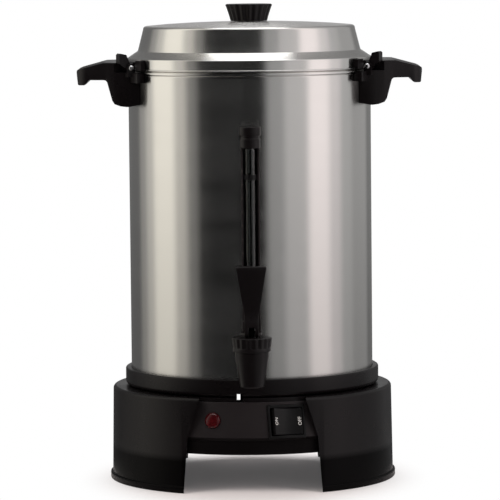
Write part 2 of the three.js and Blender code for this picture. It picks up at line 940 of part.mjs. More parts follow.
function rocker() {
  const half = rockerLength / 2;
  const valley = rockerValley + (rockerRise - rockerValley) * rockerShares.valleyRise;
  const outline = [
    [-half, -rockerBelly * rockerShares.toe],
    [-half * rockerShares.belly, -rockerBelly],
    [half * rockerShares.belly, -rockerBelly],
    [half, -rockerBelly * rockerShares.toe],
    [half, rockerRise],
    [half * rockerShares.valley, valley],
    [0, rockerValley],
    [-half * rockerShares.valley, valley],
    [-half, rockerRise],
  ];
  const body = prismAlongY(outline, -rockerWidth / 2, rockerWidth / 2);
  const reach = rockerWidth / 2 + rockerPinReach;
  const pin = rodAlongY(rockerPinRadius, -reach, reach, screwSides);
  return join(body, pin).rotateY(rockerTilt);
}

function onPanel(angle, level, rear = false) {
  const place = new THREE.Group();
  const turn = new THREE.Matrix4().makeRotationZ(rear ? Math.PI : 0);
  place.applyMatrix4(turn.multiply(panelFrame(angle, level)));
  urn.add(place);
  return place;
}

const switchPlace = onPanel(switchAngle, switchLevel);
piece("switch_housing", switchHousing(), blackNylon, switchPlace);
piece("rocker", rocker(), blackNylon, switchPlace).position.z = -rockerPivotDepth;

// Pilot lamp: a red lens clipped into the panel over its lamp.
function lens() {
  const back = -panelWall - 3 * gap;
  const dome = Array.from({ length: domeSteps + 1 }, (_, i) => {
    const angle = (i / domeSteps) * quarterTurn;
    return [lensRadius * Math.cos(angle), lensCollar + lensDome * Math.sin(angle)];
  });
  dome[domeSteps][0] = 0;
  return revolve(
    [
      [0, back - lensFlangeThickness],
      [lensFlange, back - lensFlangeThickness],
      [lensFlange, back],
      [lensRadius, back],
      ...dome,
    ],
    smallSides,
  );
}

function lampBody() {
  const front = -panelWall - 4 * gap - lensFlangeThickness;
  const body = rod(lampBodyRadius, front - lampBodyLength, front);
  const legs = [-1, 1].map((side) =>
    box(
      bladeWidth / 2,
      bladeThickness,
      bladeLength * 2,
      0,
      (side * lampBodyRadius) / 2,
      front - lampBodyLength,
    ),
  );
  return join(body, ...legs);
}

const lampPlace = onPanel(lampAngle, lampLevel);
piece("indicator_lens", lens(), redLens, lampPlace);
piece("indicator_lamp", lampBody(), blackNylon, lampPlace);

// Power inlet: a shrouded socket with two pins, in the rear panel.
function inletHousing() {
  const flange = box(
    inletWidth + 2 * inletFlange,
    inletHeight + 2 * inletFlange,
    inletFlangeThickness,
    0,
    0,
    inletFlangeThickness / 2 - bezelSink,
  );
  const depth = inletDepth + inletFloor;
  const body = box(inletWidth, inletHeight, depth, 0, 0, gap - depth / 2);
  const socket = box(
    inletWidth - 2 * inletWall,
    inletHeight - 2 * inletWall,
    inletDepth + inletFlangeThickness + overrun,
    0,
    0,
    (inletFlangeThickness + overrun - inletDepth) / 2,
  );
  const pinHoles = [-1, 1].map((side) =>
    rod(inletPinRadius + gap, -inletDepth - inletFloor - overrun, 0, smallSides).translate(
      (side * inletPinSpacing) / 2,
      0,
      0,
    ),
  );
  return cut(join(flange, body), socket, ...pinHoles);
}

function inletPin() {
  const back = -inletDepth - inletFloor - bladeLength;
  const shank = rod(inletPinRadius, back, back + bladeLength + inletPinLength, screwSides);
  const stopRadius = inletPinRadius * pinStopShare;
  const stop = rod(stopRadius, back + bladeLength / 2, -inletDepth - inletFloor, screwSides);
  return join(shank, stop);
}

const inletPlace = onPanel(inletAngle, inletLevel, true);
piece("inlet_housing", inletHousing(), blackNylon, inletPlace);
[-1, 1].forEach((side) => {
  const pin = inletPin().translate((side * inletPinSpacing) / 2, 0, 0);
  piece(side < 0 ? "inlet_pin_1" : "inlet_pin_2", pin, brass, inletPlace);
});

// Heating element: a sheathed tube bent to a ring under the tank, with both ends turned down.
function heatingElement() {
  const level = tankUnderside - gap - elementRadius;
  const half = Math.PI - elementGapAngle / 2;
  const steps = elementSteps;
  const ring = Array.from({ length: steps + 1 }, (_, i) => {
    const angle = -half + (2 * half * i) / steps + Math.PI;
    return new THREE.Vector3(elementCircle * Math.cos(angle), elementCircle * Math.sin(angle), level);
  });
  const drop = (point, next) => [
    point.clone().add(new THREE.Vector3(0, 0, -elementDrop)),
    point.clone().add(new THREE.Vector3(0, 0, -elementDrop / 2)),
    point
      .clone()
      .lerp(next, elementBendShares.run)
      .add(new THREE.Vector3(0, 0, -elementRadius * elementBendShares.drop)),
  ];
  const first = drop(ring[0], ring[1]);
  const last = drop(ring[steps], ring[steps - 1]).reverse();
  const path = new THREE.CatmullRomCurve3([...first, ...ring.slice(1, steps), ...last]);
  return tubeAlong(path, elementRadius, tubeSteps, tubeSides);
}

function tubeAlong(path, radius, steps, sides) {
  const section = new THREE.Shape(
    Array.from({ length: sides }, (_, i) => {
      const angle = (i / sides) * fullTurn;
      return new THREE.Vector2(radius * Math.cos(angle), radius * Math.sin(angle));
    }),
  );
  return new THREE.ExtrudeGeometry(section, { steps, extrudePath: path, bevelEnabled: false });
}

function thermostat() {
  const high = tankUnderside - gap;
  const body = rod(thermostatRadius, high - thermostatHeight, high);
  const blades = [-1, 1].map((side) =>
    box(
      bladeThickness,
      bladeWidth,
      bladeLength * 2,
      (side * thermostatRadius) / 2,
      0,
      high - thermostatHeight,
    ),
  );
  return join(body, ...blades).translate(thermostatPlace, 0, 0);
}

function thermalFuse() {
  const high = tankUnderside - gap;
  const barrel = rodAlongY(fuseRadius, -fuseLength / 2, fuseLength / 2, screwSides).translate(
    0,
    0,
    high - fuseRadius - fuseClipWall,
  );
  const clip = box(
    3 * fuseRadius,
    fuseLength / 2,
    fuseRadius + fuseClipWall,
    0,
    0,
    high - (fuseRadius + fuseClipWall) / 2,
  );
  return join(barrel, clip).translate(-thermostatPlace, 0, 0);
}

piece("heating_element", heatingElement(), sheathedMetal);
piece("thermostat", thermostat(), blackNylon);
piece("thermal_fuse", thermalFuse(), stainless);

// Lid: a spun drum on a skirt, with a plug ring that drops into the mouth of the tank.
function lid() {
  const plugRadius = tankBore - plugClearance;
  const bead = skirtRadius + lidBeadDepth;
  const cove = [
    [skirtRadius, skirtTop],
    [drumFootRadius, drumFoot],
  ];
  const inside = cove.map(([radius, z]) => [radius - lidWall, z - lidWall / 2]).reverse();
  return revolve([
    [plugRadius - lidWall, tankRim - plugDepth],
    [plugRadius, tankRim - plugDepth],
    [plugRadius, lidFoot],
    [bead, lidFoot],
    [bead, lidFoot + lidBeadHeight / 2],
    [skirtRadius, lidFoot + lidBeadHeight],
    ...cove,
    ...arc(drumRadius - drumRound, drumTop, drumRound, 0, 1, roundSteps),
    [drumRadius * crownShare, crownTop - crownRise * crownDropShare],
    [knobWasherRadius + lidWall, crownTop],
    [knobScrewRadius + gap, crownTop],
    [knobScrewRadius + gap, crownTop - lidWall],
    [knobWasherRadius + lidWall, crownTop - lidWall],
    [drumRadius * crownShare, crownTop - crownRise * crownDropShare - lidWall],
    ...arc(drumRadius - drumRound, drumTop, drumRound - lidWall, 1, 0, roundSteps),
    ...inside,
    [skirtRadius - lidWall, lidFoot + lidBeadHeight],
    [plugRadius - lidWall, lidFoot + lidWall],
  ]);
}

function lidEar(side) {
  const bead = skirtRadius + lidBeadDepth;
  const low = lidFoot + lidBeadHeight / 3;
  const plan = rectangle(earDepth + lidBeadDepth, earWidth, bead + earDepth / 2);
  const block = prism(plan, low, low + earHeight);
  const angle = side > 0 ? -earAngle : Math.PI + earAngle;
  const seat = revolve([
    [0, low - overrun],
    [bead + gap, low - overrun],
    [bead + gap, lidFoot + lidBeadHeight],
    [skirtRadius + gap, lidFoot + lidBeadHeight + gap],
    [skirtRadius + gap, skirtTop + overrun],
    [0, skirtTop + overrun],
  ]);
  return cut(turned(block, angle), seat);
}

piece("lid", lid(), polishedAluminium);
piece("lid_ear_right", lidEar(1), blackPhenolic);
piece("lid_ear_left", lidEar(-1), blackPhenolic);

// Knob: a fluted moulding on an insulating washer, held by a screw from inside the lid.
function knob() {
  const top = knobFoot + knobHeight;
  const body = fluted(knobFootRadius, knobTopRadius, knobFoot, top, knobFlutes, knobFluteDepth);
  const dish = revolve(
    [
      [0, top - knobDish],
      [knobFootRadius * knobDishShare, top - knobDish],
      [knobTopRadius - knobFluteDepth - knobDish, top + gap],
      [knobTopRadius - knobFluteDepth - knobDish, top + overrun],
      [0, top + overrun],
    ],
    smallSides,
  );
  const recess = rod(knobWasherRadius + gap, knobFoot - overrun, washerTop + gap);
  const bore = rod(knobScrewRadius + gap, knobFoot, knobFoot + knobScrewReach + gap, screwSides);
  return cut(body, dish, recess, bore);
}

piece("knob", knob(), blackPhenolic);
piece(
  "knob_washer",
  cut(
    rod(knobWasherRadius, crownTop + gap, washerTop),
    rod(knobScrewRadius + gap, crownTop - overrun, washerTop + overrun, screwSides),
  ),
  silicone,
);
piece(
  "knob_screw",
  panScrew(
    knobScrewRadius,
    knobScrewHead,
    knobScrewHeadHeight,
    knobFoot + knobScrewReach - crownTop + lidWall,
  ).translate(0, 0, crownTop - lidWall - gap),
  steel,
);

// Handles: a moulded block that hugs the tank, with a thin arm that ends in a turned-down lip.
function handleBlank() {
  const root = tankRadius - 3 * overrun;
  const side = [
    [root, handleFoot + handleFootRise],
    [tankRadius - overrun / 2, handleFoot],
    [handleHeel - handleFootRise / 2, handleFoot + handleFootRise],
    [handleHeel, handleFoot + handleFootRise * blockShares.foot],
    [handleElbow, handleUnderside],
    [handleReach - handleLip - handleHollow, handleUnderside],
    [handleReach - handleLip, handleEndFoot + gap],
    [handleReach - handleLip * blockShares.lip, handleEndFoot],
    [handleReach - handleLip * blockShares.lipEdge, handleEndFoot + gap],
    [handleReach, handleEndTop - handleHollow / 2],
    [handleReach - handleHollow / 2, handleEndTop],
    [handleBreak, handleTop],
    [root, handleTop],
  ];
  const plan = [
    [root, -handleRootHalf],
    [tankRadius + overrun, -handleRootHalf],
    [handleElbow, -(handleRootHalf + handleArmHalf) / 2],
    ...arc(handleReach - handleCorner, -handleArmHalf + handleCorner, handleCorner, -1, 0, roundSteps),
    ...arc(handleReach - handleCorner, handleArmHalf - handleCorner, handleCorner, 0, 1, roundSteps),
    [handleElbow, (handleRootHalf + handleArmHalf) / 2],
    [tankRadius + overrun, handleRootHalf],
    [root, handleRootHalf],
  ];
  return common(
    prismAlongY(side, -handleRootHalf - overrun, handleRootHalf + overrun),
    prism(plan, handleFoot - overrun, handleTop + overrun),
  );
}

// The lug in front of the block, below the ear of the lid, which also carries the front cheek.
function handleLug() {
  const ring = revolve([
    [handleSeat, handleLedge - lugHeight],
    [latchPivotRadius, handleLedge - lugHeight],
    [latchPivotRadius, handleLedge],
    [handleSeat, handleLedge],
  ]);
  const inner = Math.asin((handleRootHalf - overrun) / tankRadius);
  const outer = inner + (lugReach + overrun) / tankRadius;
  const reach = tankRadius + 2 * lugReach;
  const wedge = [
    [0, 0],
    [reach * Math.cos(outer), -reach * Math.sin(outer)],
    [reach * Math.cos(inner), -reach * Math.sin(inner)],
  ];
  return common(ring, prism(wedge, handleLedge - lugHeight - overrun, handleLedge + overrun));
}

// A latch turns in a slot of the handle. Its frame has X outwards, Y along its pin and Z up.
function latchFrame(geometry) {
  return turned(geometry.translate(latchPivotRadius, 0, latchPivotLevel), -latchAngle);
}

function handleRight() {
  const seat = revolve([
    [0, handleFoot - overrun],
    [handleSeat, handleFoot - overrun],
    [handleSeat, tankRim - tankBeadHeight - gap],
    [handleSeat + tankBeadDepth, tankRim - tankBeadHeight * (1 - beadShare) - gap],
    [handleSeat + tankBeadDepth, handleLedge],
    [handleLedgeRadius, handleLedge],
    [handleLedgeRadius, handleTop + overrun],
    [0, handleTop + overrun],
  ]);
  const slot = latchFrame(
    box(
      latchHub + latchTabReach + overrun,
      latchWidth + 2 * gap,
      latchHub * 2 + latchTabHeight,
      (latchTabReach - latchHub) / 2,
      0,
      latchTabHeight / 2,
    ),
  );
  const pinHole = latchFrame(
    rodAlongY(
      latchPinRadius + gap / 2,
      -latchWidth / 2 - latchEar - overrun,
      latchWidth / 2 + latchEar + overrun,
    ),
  );
  const ears = latchFrame(
    join(
      latchCheek(-latchWidth / 2 - gap - latchEar, -latchWidth / 2 - gap),
      latchCheek(latchWidth / 2 + gap, latchWidth / 2 + gap + latchEar),
    ),
  );
  const screwEnd = tankBore + handleScrewLength + overrun;
  const screwHole = rodAlongX(handleScrewRadius + gap, tankBore, screwEnd, screwSides);
  const holes = handleScrewPlaces()
    .filter(({ name }) => name.includes("right"))
    .map(({ angle }) => turned(screwHole, angle).translate(0, 0, handleScrewLevel));
  return cut(join(cut(join(handleBlank(), handleLug()), seat), cut(ears, seat)), slot, pinHole, ...holes);
}

// One of the two round cheeks that carry the latch pin.
function latchCheek(back, front) {
  const height = latchHub + overrun;
  return join(
    rodAlongY(latchHub - gap, back, front),
    box(2 * (latchHub - gap), front - back, height, 0, (back + front) / 2, -height / 2),
  );
}

function handleLeft() {
  return mirrorAcross(handleRight());
}

// The mirror image across the plane X = 0, with its faces turned back to point outwards.
function mirrorAcross(geometry) {
  const image = geometry.clone();
  const place = image.attributes.position;
  for (let i = 0; i < place.count; i += 1) place.setX(i, -place.getX(i));
  const corners = image.index.array;
  for (let i = 0; i < corners.length; i += 3) {
    [corners[i + 1], corners[i + 2]] = [corners[i + 2], corners[i + 1]];
  }
  return image;
}

// The latch stands open, and its nose swings down over the bead of the lid.
function latch() {
  const half = latchWidth / 2;
  const nose = [
    [-latchNoseReach, latchNoseLift],
    [0, latchNoseLift],
    [0, latchNoseLift + latchNoseThickness],
    [-latchNoseReach + latchNoseThickness * noseShares.tip, latchNoseLift + latchNoseThickness],
    [-latchNoseReach, latchNoseLift + latchNoseThickness * noseShares.edge],
  ];
  const tab = [
    [0, -latchHub / 2],
    [latchHub / 2, -latchHub / 2],
    [latchTabReach, latchHub],
    [latchTabReach, latchTabHeight - latchNoseThickness / 2],
    [latchTabReach - latchNoseThickness / 2, latchTabHeight],
    [latchTabReach - latchTabThickness, latchTabHeight - latchNoseThickness / 2],
    [0, latchHub - latchBore],
  ];
  const body = join(
    rodAlongY(latchHub - latchBore, -half, half),
    prismAlongY(tab, -half, half),
    prismAlongY(nose, -half, half).rotateY(latchSwing),
  );
  const bore = rodAlongY(latchPinRadius + latchBore, -half - overrun, half + overrun);
  return latchFrame(cut(body, bore));
}

// The latch pin is a rivet whose round head shows on the front cheek.
function latchPin() {
  const half = latchWidth / 2 + gap + latchEar;
  const head = rodAlongY(latchPinHead, -half - gap - latchPinRadius, -half - gap);
  return latchFrame(join(rodAlongY(latchPinRadius, -half - gap - weld, half), head));
}

function handleScrew() {
  const screw = panScrew(
    handleScrewRadius,
    handleScrewRadius * 2,
    handleScrewRadius,
    handleScrewLength,
  ).rotateY(quarterTurn);
  return screw.translate(tankBore - gap - handleScrewRadius * clampShare, 0, handleScrewLevel);
}

piece("handle_right", handleRight(), blackPhenolic);
piece("handle_left", handleLeft(), blackPhenolic);
piece("latch_right", latch(), blackPhenolic);
piece("latch_left", mirrorAcross(latch()), blackPhenolic);
piece("latch_pin_right", latchPin(), stainless);
piece("latch_pin_left", mirrorAcross(geometryOf(solidOf(latchPin()))), stainless);
handleScrewPlaces().forEach(({ name, angle }) => {
  piece(name, turned(handleScrew(), angle), stainless);
});

// Tap: a moulded body with a shank through the tank, a valve chamber, a spout and a gauge tower.
function tapBody() {
  const barrel = revolve(
    [
      [0, tapBottom],
      [tapBottomRadius, tapBottom],
      [tapNeckRadius, tapTop - bonnetRingHeight],
      [tapNeckRadius, tapTop],
      [0, tapTop],
    ],
    ringSides,
  ).translate(0, -tapAxis, 0);
  const tower = rod(towerRadius, tapLevel - towerRadius, towerTop, boreSides).translate(0, -gaugeAxis, 0);
  const web = box(
    webWidth,
    tapAxis - gaugeAxis,
    tapTop - tapLevel + towerRadius,
    0,
    -(tapAxis + gaugeAxis) / 2,
    (tapTop + tapLevel - towerRadius) / 2,
  );
  const behind = box(
    6 * towerRadius,
    2 * towerRadius,
    2 * capTop,
    0,
    -tapBack + towerRadius,
    capTop,
  );
  const flange = rodAlongY(gasketRadius, -gaugeAxis, -tapBack).translate(0, 0, tapLevel);
  const shankEnd = -tankBore + shankReach;
  const shank = rodAlongY(shankRadius, -gaugeAxis, shankEnd).translate(0, 0, tapLevel);
  const bore = rodAlongY(shankBore, -tapAxis, shankEnd + overrun).translate(0, 0, tapLevel);
  const chamber = rod(chamberRadius, seatLevel, tapTop + overrun).translate(0, -tapAxis, 0);
  const spout = rod(spoutBore, tapBottom - overrun, seatLevel + overrun).translate(0, -tapAxis, 0);
  const riser = rod(glassBore, tapLevel, towerTop + overrun, smallSides).translate(0, -gaugeAxis, 0);
  const socket = rod(glassRadius + gap, towerTop - socketDepth, towerTop + overrun).translate(
    0,
    -gaugeAxis,
    0,
  );
  const bonnetRoom = rod(bonnetRadius + gap * 2, tapTop + gap / 2, towerTop + overrun, boreSides).translate(
    0,
    -tapAxis,
    0,
  );
  const solidBody = join(cut(join(tower, web, flange), behind, bonnetRoom), barrel, shank);
  return cut(solidBody, bore, chamber, spout, riser, socket);
}

function tapGasket() {
  const ring = rodAlongY(gasketRadius, -tapBack + gap, -tankRadius + gasketRadius / 4);
  const hole = rodAlongY(shankRadius + gap, -tapBack - overrun, -tankBore + overrun);
  const tankOutside = revolve([
    [0, tankUnderside],
    [tankRadius + gap, tankUnderside],
    [tankRadius + gap, tankRim],
    [0, tankRim],
  ]);
  return cut(ring.translate(0, 0, tapLevel), hole.translate(0, 0, tapLevel), tankOutside);
}

// Tap nut: its face is moulded to the curve of the tank.
function tapNut() {
  const inner = -tankBore + gap + tapNutThickness;
  const body = prism(hexagon(tapNutWidth), -inner, tankBore).rotateX(quarterTurn);
  const hole = rodAlongY(shankRadius + gap, -tankBore - overrun, inner + overrun);
  return common(cut(body, hole).translate(0, 0, tapLevel), tankInside());
}

function tankInside() {
  return revolve([
    [0, tankUnderside],
    [tankBore - gap, tankUnderside],
    [tankBore - gap, tankRim],
    [0, tankRim],
  ]);
}

// Bonnet: the fluted cap over the valve, with a recess for the spring.
function bonnet() {
  const low = tapTop + gap;
  const ring = rod(bonnetFootRadius, low, low + bonnetRingHeight, ringSides);
  const cap = fluted(
    bonnetFootRadius,
    bonnetRadius,
    low + bonnetRingHeight - gap,
    bonnetTop,
    bonnetFlutes,
    bonnetFluteDepth,
  );
  const recess = rod(bonnetRecess, low - overrun, bonnetTop - bonnetCrown);
  const hole = rod(stemRadius + stemClearance, low, bonnetTop + overrun, smallSides);
  return cut(join(ring, cap), recess, hole).translate(0, -tapAxis, 0);
}

function valveStem() {
  const low = seatLevel + gap + cupRim;
  const body = rod(stemRadius, low, pinLevel + stemHead, smallSides);
  const foot = rod(stemRadius + cupRim, low, low + cupRim, smallSides);
  const hole = rodAlongX(leverPinRadius + gap / 2, -stemHead, stemHead, screwSides);
  return cut(join(body, foot), hole.translate(0, 0, pinLevel)).translate(0, -tapAxis, 0);
}

// Seat cup: a soft cup on the foot of the stem that shuts the spout.
function seatCup() {
  const low = seatLevel + gap;
  const foot = low + cupRim;
  const hollow = stemRadius + cupRim + gap;
  return revolve(
    [
      [0, low],
      [cupRadius - cupRim, low],
      [cupRadius, low + cupRim],
      [cupRadius, low + cupHeight - cupRim],
      [cupRadius - cupRim, low + cupHeight],
      [stemRadius + gap, low + cupHeight],
      [stemRadius + gap, foot + cupRim + gap],
      [hollow, foot + cupRim + gap],
      [hollow, foot - gap],
      [0, foot - gap],
    ],
    smallSides,
  ).translate(0, -tapAxis, 0);
}

function valveSpring() {
  const low = seatLevel + cupHeight + 2 * gap + springWire;
  const high = bonnetTop - bonnetCrown - gap - springWire;
  const steps = springTurns * springSteps;
  const points = Array.from({ length: steps + 1 }, (_, i) => {
    const share = i / steps;
    const angle = share * springTurns * fullTurn;
    const x = springCircle * Math.cos(angle);
    const y = springCircle * Math.sin(angle) - tapAxis;
    return new THREE.Vector3(x, y, low + (high - low) * share);
  });
  return tubeAlong(new THREE.CatmullRomCurve3(points), springWire, steps, springSides);
}

// Lever: a tapering paddle over a fork, whose round heels rest on the bonnet.
function lever() {
  const low = pinLevel - heelRadius;
  const face = [
    [-leverForkWidth / 2, low],
    [leverForkWidth / 2, low],
    [leverForkWidth / 2, pinLevel + slotHeight],
    [leverWaistWidth / 2, leverWaist],
    [leverTopWidth / 2, leverTop],
    [-leverTopWidth / 2, leverTop],
    [-leverWaistWidth / 2, leverWaist],
    [-leverForkWidth / 2, pinLevel + slotHeight],
  ];
  const side = [
    ...arc(-heelOffset, pinLevel, heelRadius, 3, 2),
    [-heelOffset - heelRadius, pinLevel + heelRadius],
    [-leverWaistDepth / 2, leverWaist],
    [-leverDepth / 2, leverTop - leverDepth * leverShares.shoulder],
    [-leverDepth * leverShares.crown, leverTop],
    [leverDepth * leverShares.crown, leverTop],
    [leverDepth / 2, leverTop - leverDepth * leverShares.shoulder],
    [leverWaistDepth / 2, leverWaist],
    [heelOffset + heelRadius, pinLevel + heelRadius],
    ...arc(heelOffset, pinLevel, heelRadius, 0, -1),
  ].reverse();
  const body = common(
    prismAlongY(face, -leverTopWidth, leverTopWidth),
    prismAlongX(side, -leverTopWidth, leverTopWidth),
  );
  const slotTop = pinLevel + Math.hypot(stemHead, stemRadius) + gap;
  const slot = box(
    leverSlot,
    4 * (heelOffset + heelRadius),
    slotHeight + heelRadius,
    0,
    0,
    slotTop - (slotHeight + heelRadius) / 2,
  );
  const hole = rodAlongX(leverPinRadius + gap / 2, -leverForkWidth, leverForkWidth, screwSides);
  return cut(body, slot, hole.translate(0, 0, pinLevel)).translate(0, -tapAxis, 0);
}

function leverPin() {
  return rodAlongX(leverPinRadius, -leverForkWidth / 2, leverForkWidth / 2, screwSides).translate(
    0,
    -tapAxis,
    pinLevel,
  );
}

piece("tap_body", tapBody(), blackPhenolic);
piece("tap_gasket", tapGasket(), silicone);
piece("tap_nut", tapNut(), blackNylon);
piece("bonnet", bonnet(), blackPhenolic);
piece("valve_stem", valveStem(), blackNylon);
piece("seat_cup", seatCup(), silicone);
piece("valve_spring", valveSpring(), stainless);
piece("lever", lever(), blackPhenolic);
piece("lever_pin", leverPin(), stainless);

// Sight gauge: a glass tube in a channel-shaped guard, closed above by a cap.
function ringPipe(outer, bore, low, high, sides = smallSides) {
  return revolve(
    [
      [bore, low],
      [outer, low],
      [outer, high],
      [bore, high],
    ],
    sides,
  );
}

function gaugeGuard() {
  const back = -tankRadius - 2 * gap;
  const front = -gaugeAxis - guardFront;
  const low = towerTop + gap;
  const high = capBottom - gap;
  const outline = [
    [-guardHalf, front],
    [-guardHalf + guardWall, front],
    [-guardHalf + guardWall, back - guardWall],
    [guardHalf - guardWall, back - guardWall],
    [guardHalf - guardWall, front],
    [guardHalf, front],
    [guardHalf, back],
    [-guardHalf, back],
  ];
  return prism(outline, low, high);
}

function gaugeCap() {
  const low = capBottom;
  const middle = (capBottom + capTop) / 2;
  const round = capGroove * 2;
  const body = revolve(
    [
      [0, low],
      [capFootRadius, low],
      [capFootRadius, middle - capGroove],
      [capFootRadius - capGroove, middle],
      [capRadius, middle + capGroove],
      [capRadius, capTop - round],
      [capRadius - round, capTop],
      [0, capTop],
    ],
    smallSides,
  );
  const bore = rod(glassRadius + gap, low - overrun, glassTop + gap);
  const vent = rod(capVent, low, capTop + overrun, ventSides);
  const back = gaugeAxis - tankRadius - gap;
  const behind = box(4 * capRadius, capRadius, 2 * capTop, 0, back + capRadius / 2, capTop);
  return cut(body, bore, vent, behind).translate(0, -gaugeAxis, 0);
}

const gaugeSeal = ringPipe(glassRadius, glassBore, towerTop - socketDepth + gap, glassFoot - gap);
const gaugeGlass = ringPipe(glassRadius, glassBore, glassFoot, glassTop);
piece("gauge_seal", gaugeSeal.translate(0, -gaugeAxis, 0), silicone);
piece("gauge_glass", gaugeGlass.translate(0, -gaugeAxis, 0), clearGlass);
piece("gauge_guard", gaugeGuard(), blackPhenolic);
piece("gauge_cap", gaugeCap(), blackPhenolic);
piece(
  "gauge_marker",
  ringPipe(
    glassRadius + gap + markerThickness / 2,
    glassRadius + gap,
    markerLevel,
    markerLevel + markerHeight,
  ).translate(0, -gaugeAxis, 0),
  blackNylon,
);

// Pump: a tube on a bell foot that stands in the well, with a collar that carries the basket.
function pumpTube() {
  const bell = pumpFoot + pumpFootHeight;
  const bore = pumpRadius - pumpWall;
  const rim = pumpFoot + pumpFootHeight * bellShares.rim;
  const throat = bell + pumpFootHeight * bellShares.throat;
  const neck = pumpRadius * bellShares.neck;
  return revolve(
    [
      [pumpFootRadius - pumpFootWall, pumpFoot],
      [pumpFootRadius, pumpFoot],
      [pumpFootRadius, rim],
      [neck, bell],
      [pumpRadius, throat],
      [pumpRadius, basketSeat - pumpCollarHeight * flareShare],
      [pumpCollarRadius, basketSeat - pumpCollarHeight],
      [pumpCollarRadius, basketSeat],
      [pumpRadius, basketSeat],
      [pumpRadius, pumpTop],
      [bore, pumpTop],
      [bore, throat - pumpFootWall],
      [neck - pumpFootWall, bell - pumpFootWall],
      [pumpFootRadius - pumpFootWall, rim - pumpFootWall / 3],
    ],
    smallSides,
  );
}

// Perforated disc patterns: rings of six-sided holes.
function perforations(radius, rings, holesPerRing, low, high) {
  return rings.flatMap((ring, i) => {
    const count = holesPerRing * (1 + Math.floor(i / 2));
    return Array.from({ length: count }, (_, j) => {
      const angle = ((j + (i % 2) / 2) / count) * fullTurn;
      return rod(radius, low, high, holeSides).translate(ring * Math.cos(angle), ring * Math.sin(angle), 0);
    });
  });
}

function basket() {
  const top = basketFloor + basketHeight;
  const inner = basketRadius - basketWall;
  const tubeInner = basketTubeRadius - basketWall;
  const outline = [
    [tubeInner, basketFloor],
    [basketRadius - basketRim, basketFloor],
    [basketRadius, basketFloor + basketRim],
    [basketRadius, top - basketRim / 2],
    [basketRadius + basketRim, top - basketRim / 2],
    [basketRadius + basketRim, top],
    [inner, top],
    [inner, basketFloor + basketRim],
    [basketRadius - basketRim - basketWall / 2, basketFloor + basketWall],
    [basketTubeRadius, basketFloor + basketWall],
    [basketTubeRadius, top + spreaderWall],
    [tubeInner, top + spreaderWall],
  ];
  const holes = perforations(
    basketHoleRadius,
    basketRings,
    basketRingHoles,
    basketFloor - overrun,
    basketFloor + overrun,
  );
  return cut(revolve(outline, innerSides), ...holes);
}

// Spreader: a shallow perforated dish that lies on the basket and spreads the water.
function spreader() {
  const low = basketFloor + basketHeight + gap;
  const tubeHole = basketTubeRadius + 2 * gap;
  const dishRadius = basketRadius - basketWall - 2 * gap;
  const floor = low - spreaderLip / 2;
  const outline = [
    [tubeHole, floor],
    [dishRadius, floor],
    [dishRadius, low],
    [basketRadius + basketRim, low],
    [basketRadius + basketRim, low + spreaderWall],
    [dishRadius - spreaderWall, low + spreaderWall],
    [dishRadius - spreaderWall, floor + spreaderWall],
    [tubeHole, floor + spreaderWall],
  ];
  const holes = perforations(
    spreaderHoleRadius,
    spreaderRings,
    spreaderRingHoles,
    floor - overrun,
    floor + spreaderWall + gap,
  );
  return cut(revolve(outline, innerSides), ...holes);
}

piece("pump_tube", pumpTube(), plainAluminium);
piece("basket", basket(), plainAluminium);
piece("spreader", spreader(), plainAluminium);

// The origin lies under the middle of the urn's whole width and depth.
const extent = new THREE.Box3().setFromObject(urn);
const middle = extent.getCenter(new THREE.Vector3());
const part = new THREE.Group();
part.add(urn);
urn.position.set(-middle.x, -middle.y, -extent.min.z);

export default part;
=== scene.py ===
"""Looks of a coffee urn: a buffed aluminium tank and lid on a moulded black base, built piece by
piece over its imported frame. Sizes are in millimetres and turn to metres where a mesh is made."""

import math

import bmesh
import bpy
from mathutils import Matrix, Vector


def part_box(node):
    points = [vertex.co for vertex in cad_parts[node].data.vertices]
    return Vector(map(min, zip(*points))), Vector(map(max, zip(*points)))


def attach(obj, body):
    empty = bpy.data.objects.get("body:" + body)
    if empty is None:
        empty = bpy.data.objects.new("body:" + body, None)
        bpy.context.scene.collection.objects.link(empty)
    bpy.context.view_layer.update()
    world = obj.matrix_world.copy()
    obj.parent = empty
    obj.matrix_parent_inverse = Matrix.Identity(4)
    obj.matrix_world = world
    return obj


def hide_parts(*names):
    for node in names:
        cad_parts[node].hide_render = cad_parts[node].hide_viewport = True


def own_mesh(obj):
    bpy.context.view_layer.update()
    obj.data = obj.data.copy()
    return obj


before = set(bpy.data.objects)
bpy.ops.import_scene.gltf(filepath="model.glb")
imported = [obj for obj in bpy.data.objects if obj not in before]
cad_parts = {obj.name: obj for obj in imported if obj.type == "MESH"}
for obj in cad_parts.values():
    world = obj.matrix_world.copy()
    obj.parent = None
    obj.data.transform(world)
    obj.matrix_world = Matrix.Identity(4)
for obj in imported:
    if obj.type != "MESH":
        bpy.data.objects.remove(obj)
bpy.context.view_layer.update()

# Tank
# A deep-drawn vessel of aluminium, buffed bright on the outside while it spins, with a rolled
# bead round its mouth and a well in its floor for the foot of the pump.
MM = 0.001
tank_low, tank_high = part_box("tank")
AXIS_Y = (tank_low.y + tank_high.y) / 2 / MM


def finished(name, mesh):
    """An object at the origin that holds this mesh, whose place is in its vertices."""
    made = bpy.data.objects.new(name, mesh)
    bpy.context.scene.collection.objects.link(made)
    return made


def mesh_of(name, points, faces):
    """A mesh of points in millimetres, with doubles merged and its faces turned outwards."""
    shape = bmesh.new()
    corners = [shape.verts.new(Vector(point) * MM) for point in points]
    for face in faces:
        shape.faces.new([corners[i] for i in face])
    bmesh.ops.remove_doubles(shape, verts=shape.verts, dist=1e-7)
    bmesh.ops.recalc_face_normals(shape, faces=shape.faces)
    mesh = bpy.data.meshes.new(name)
    shape.to_mesh(mesh)
    shape.free()
    return mesh


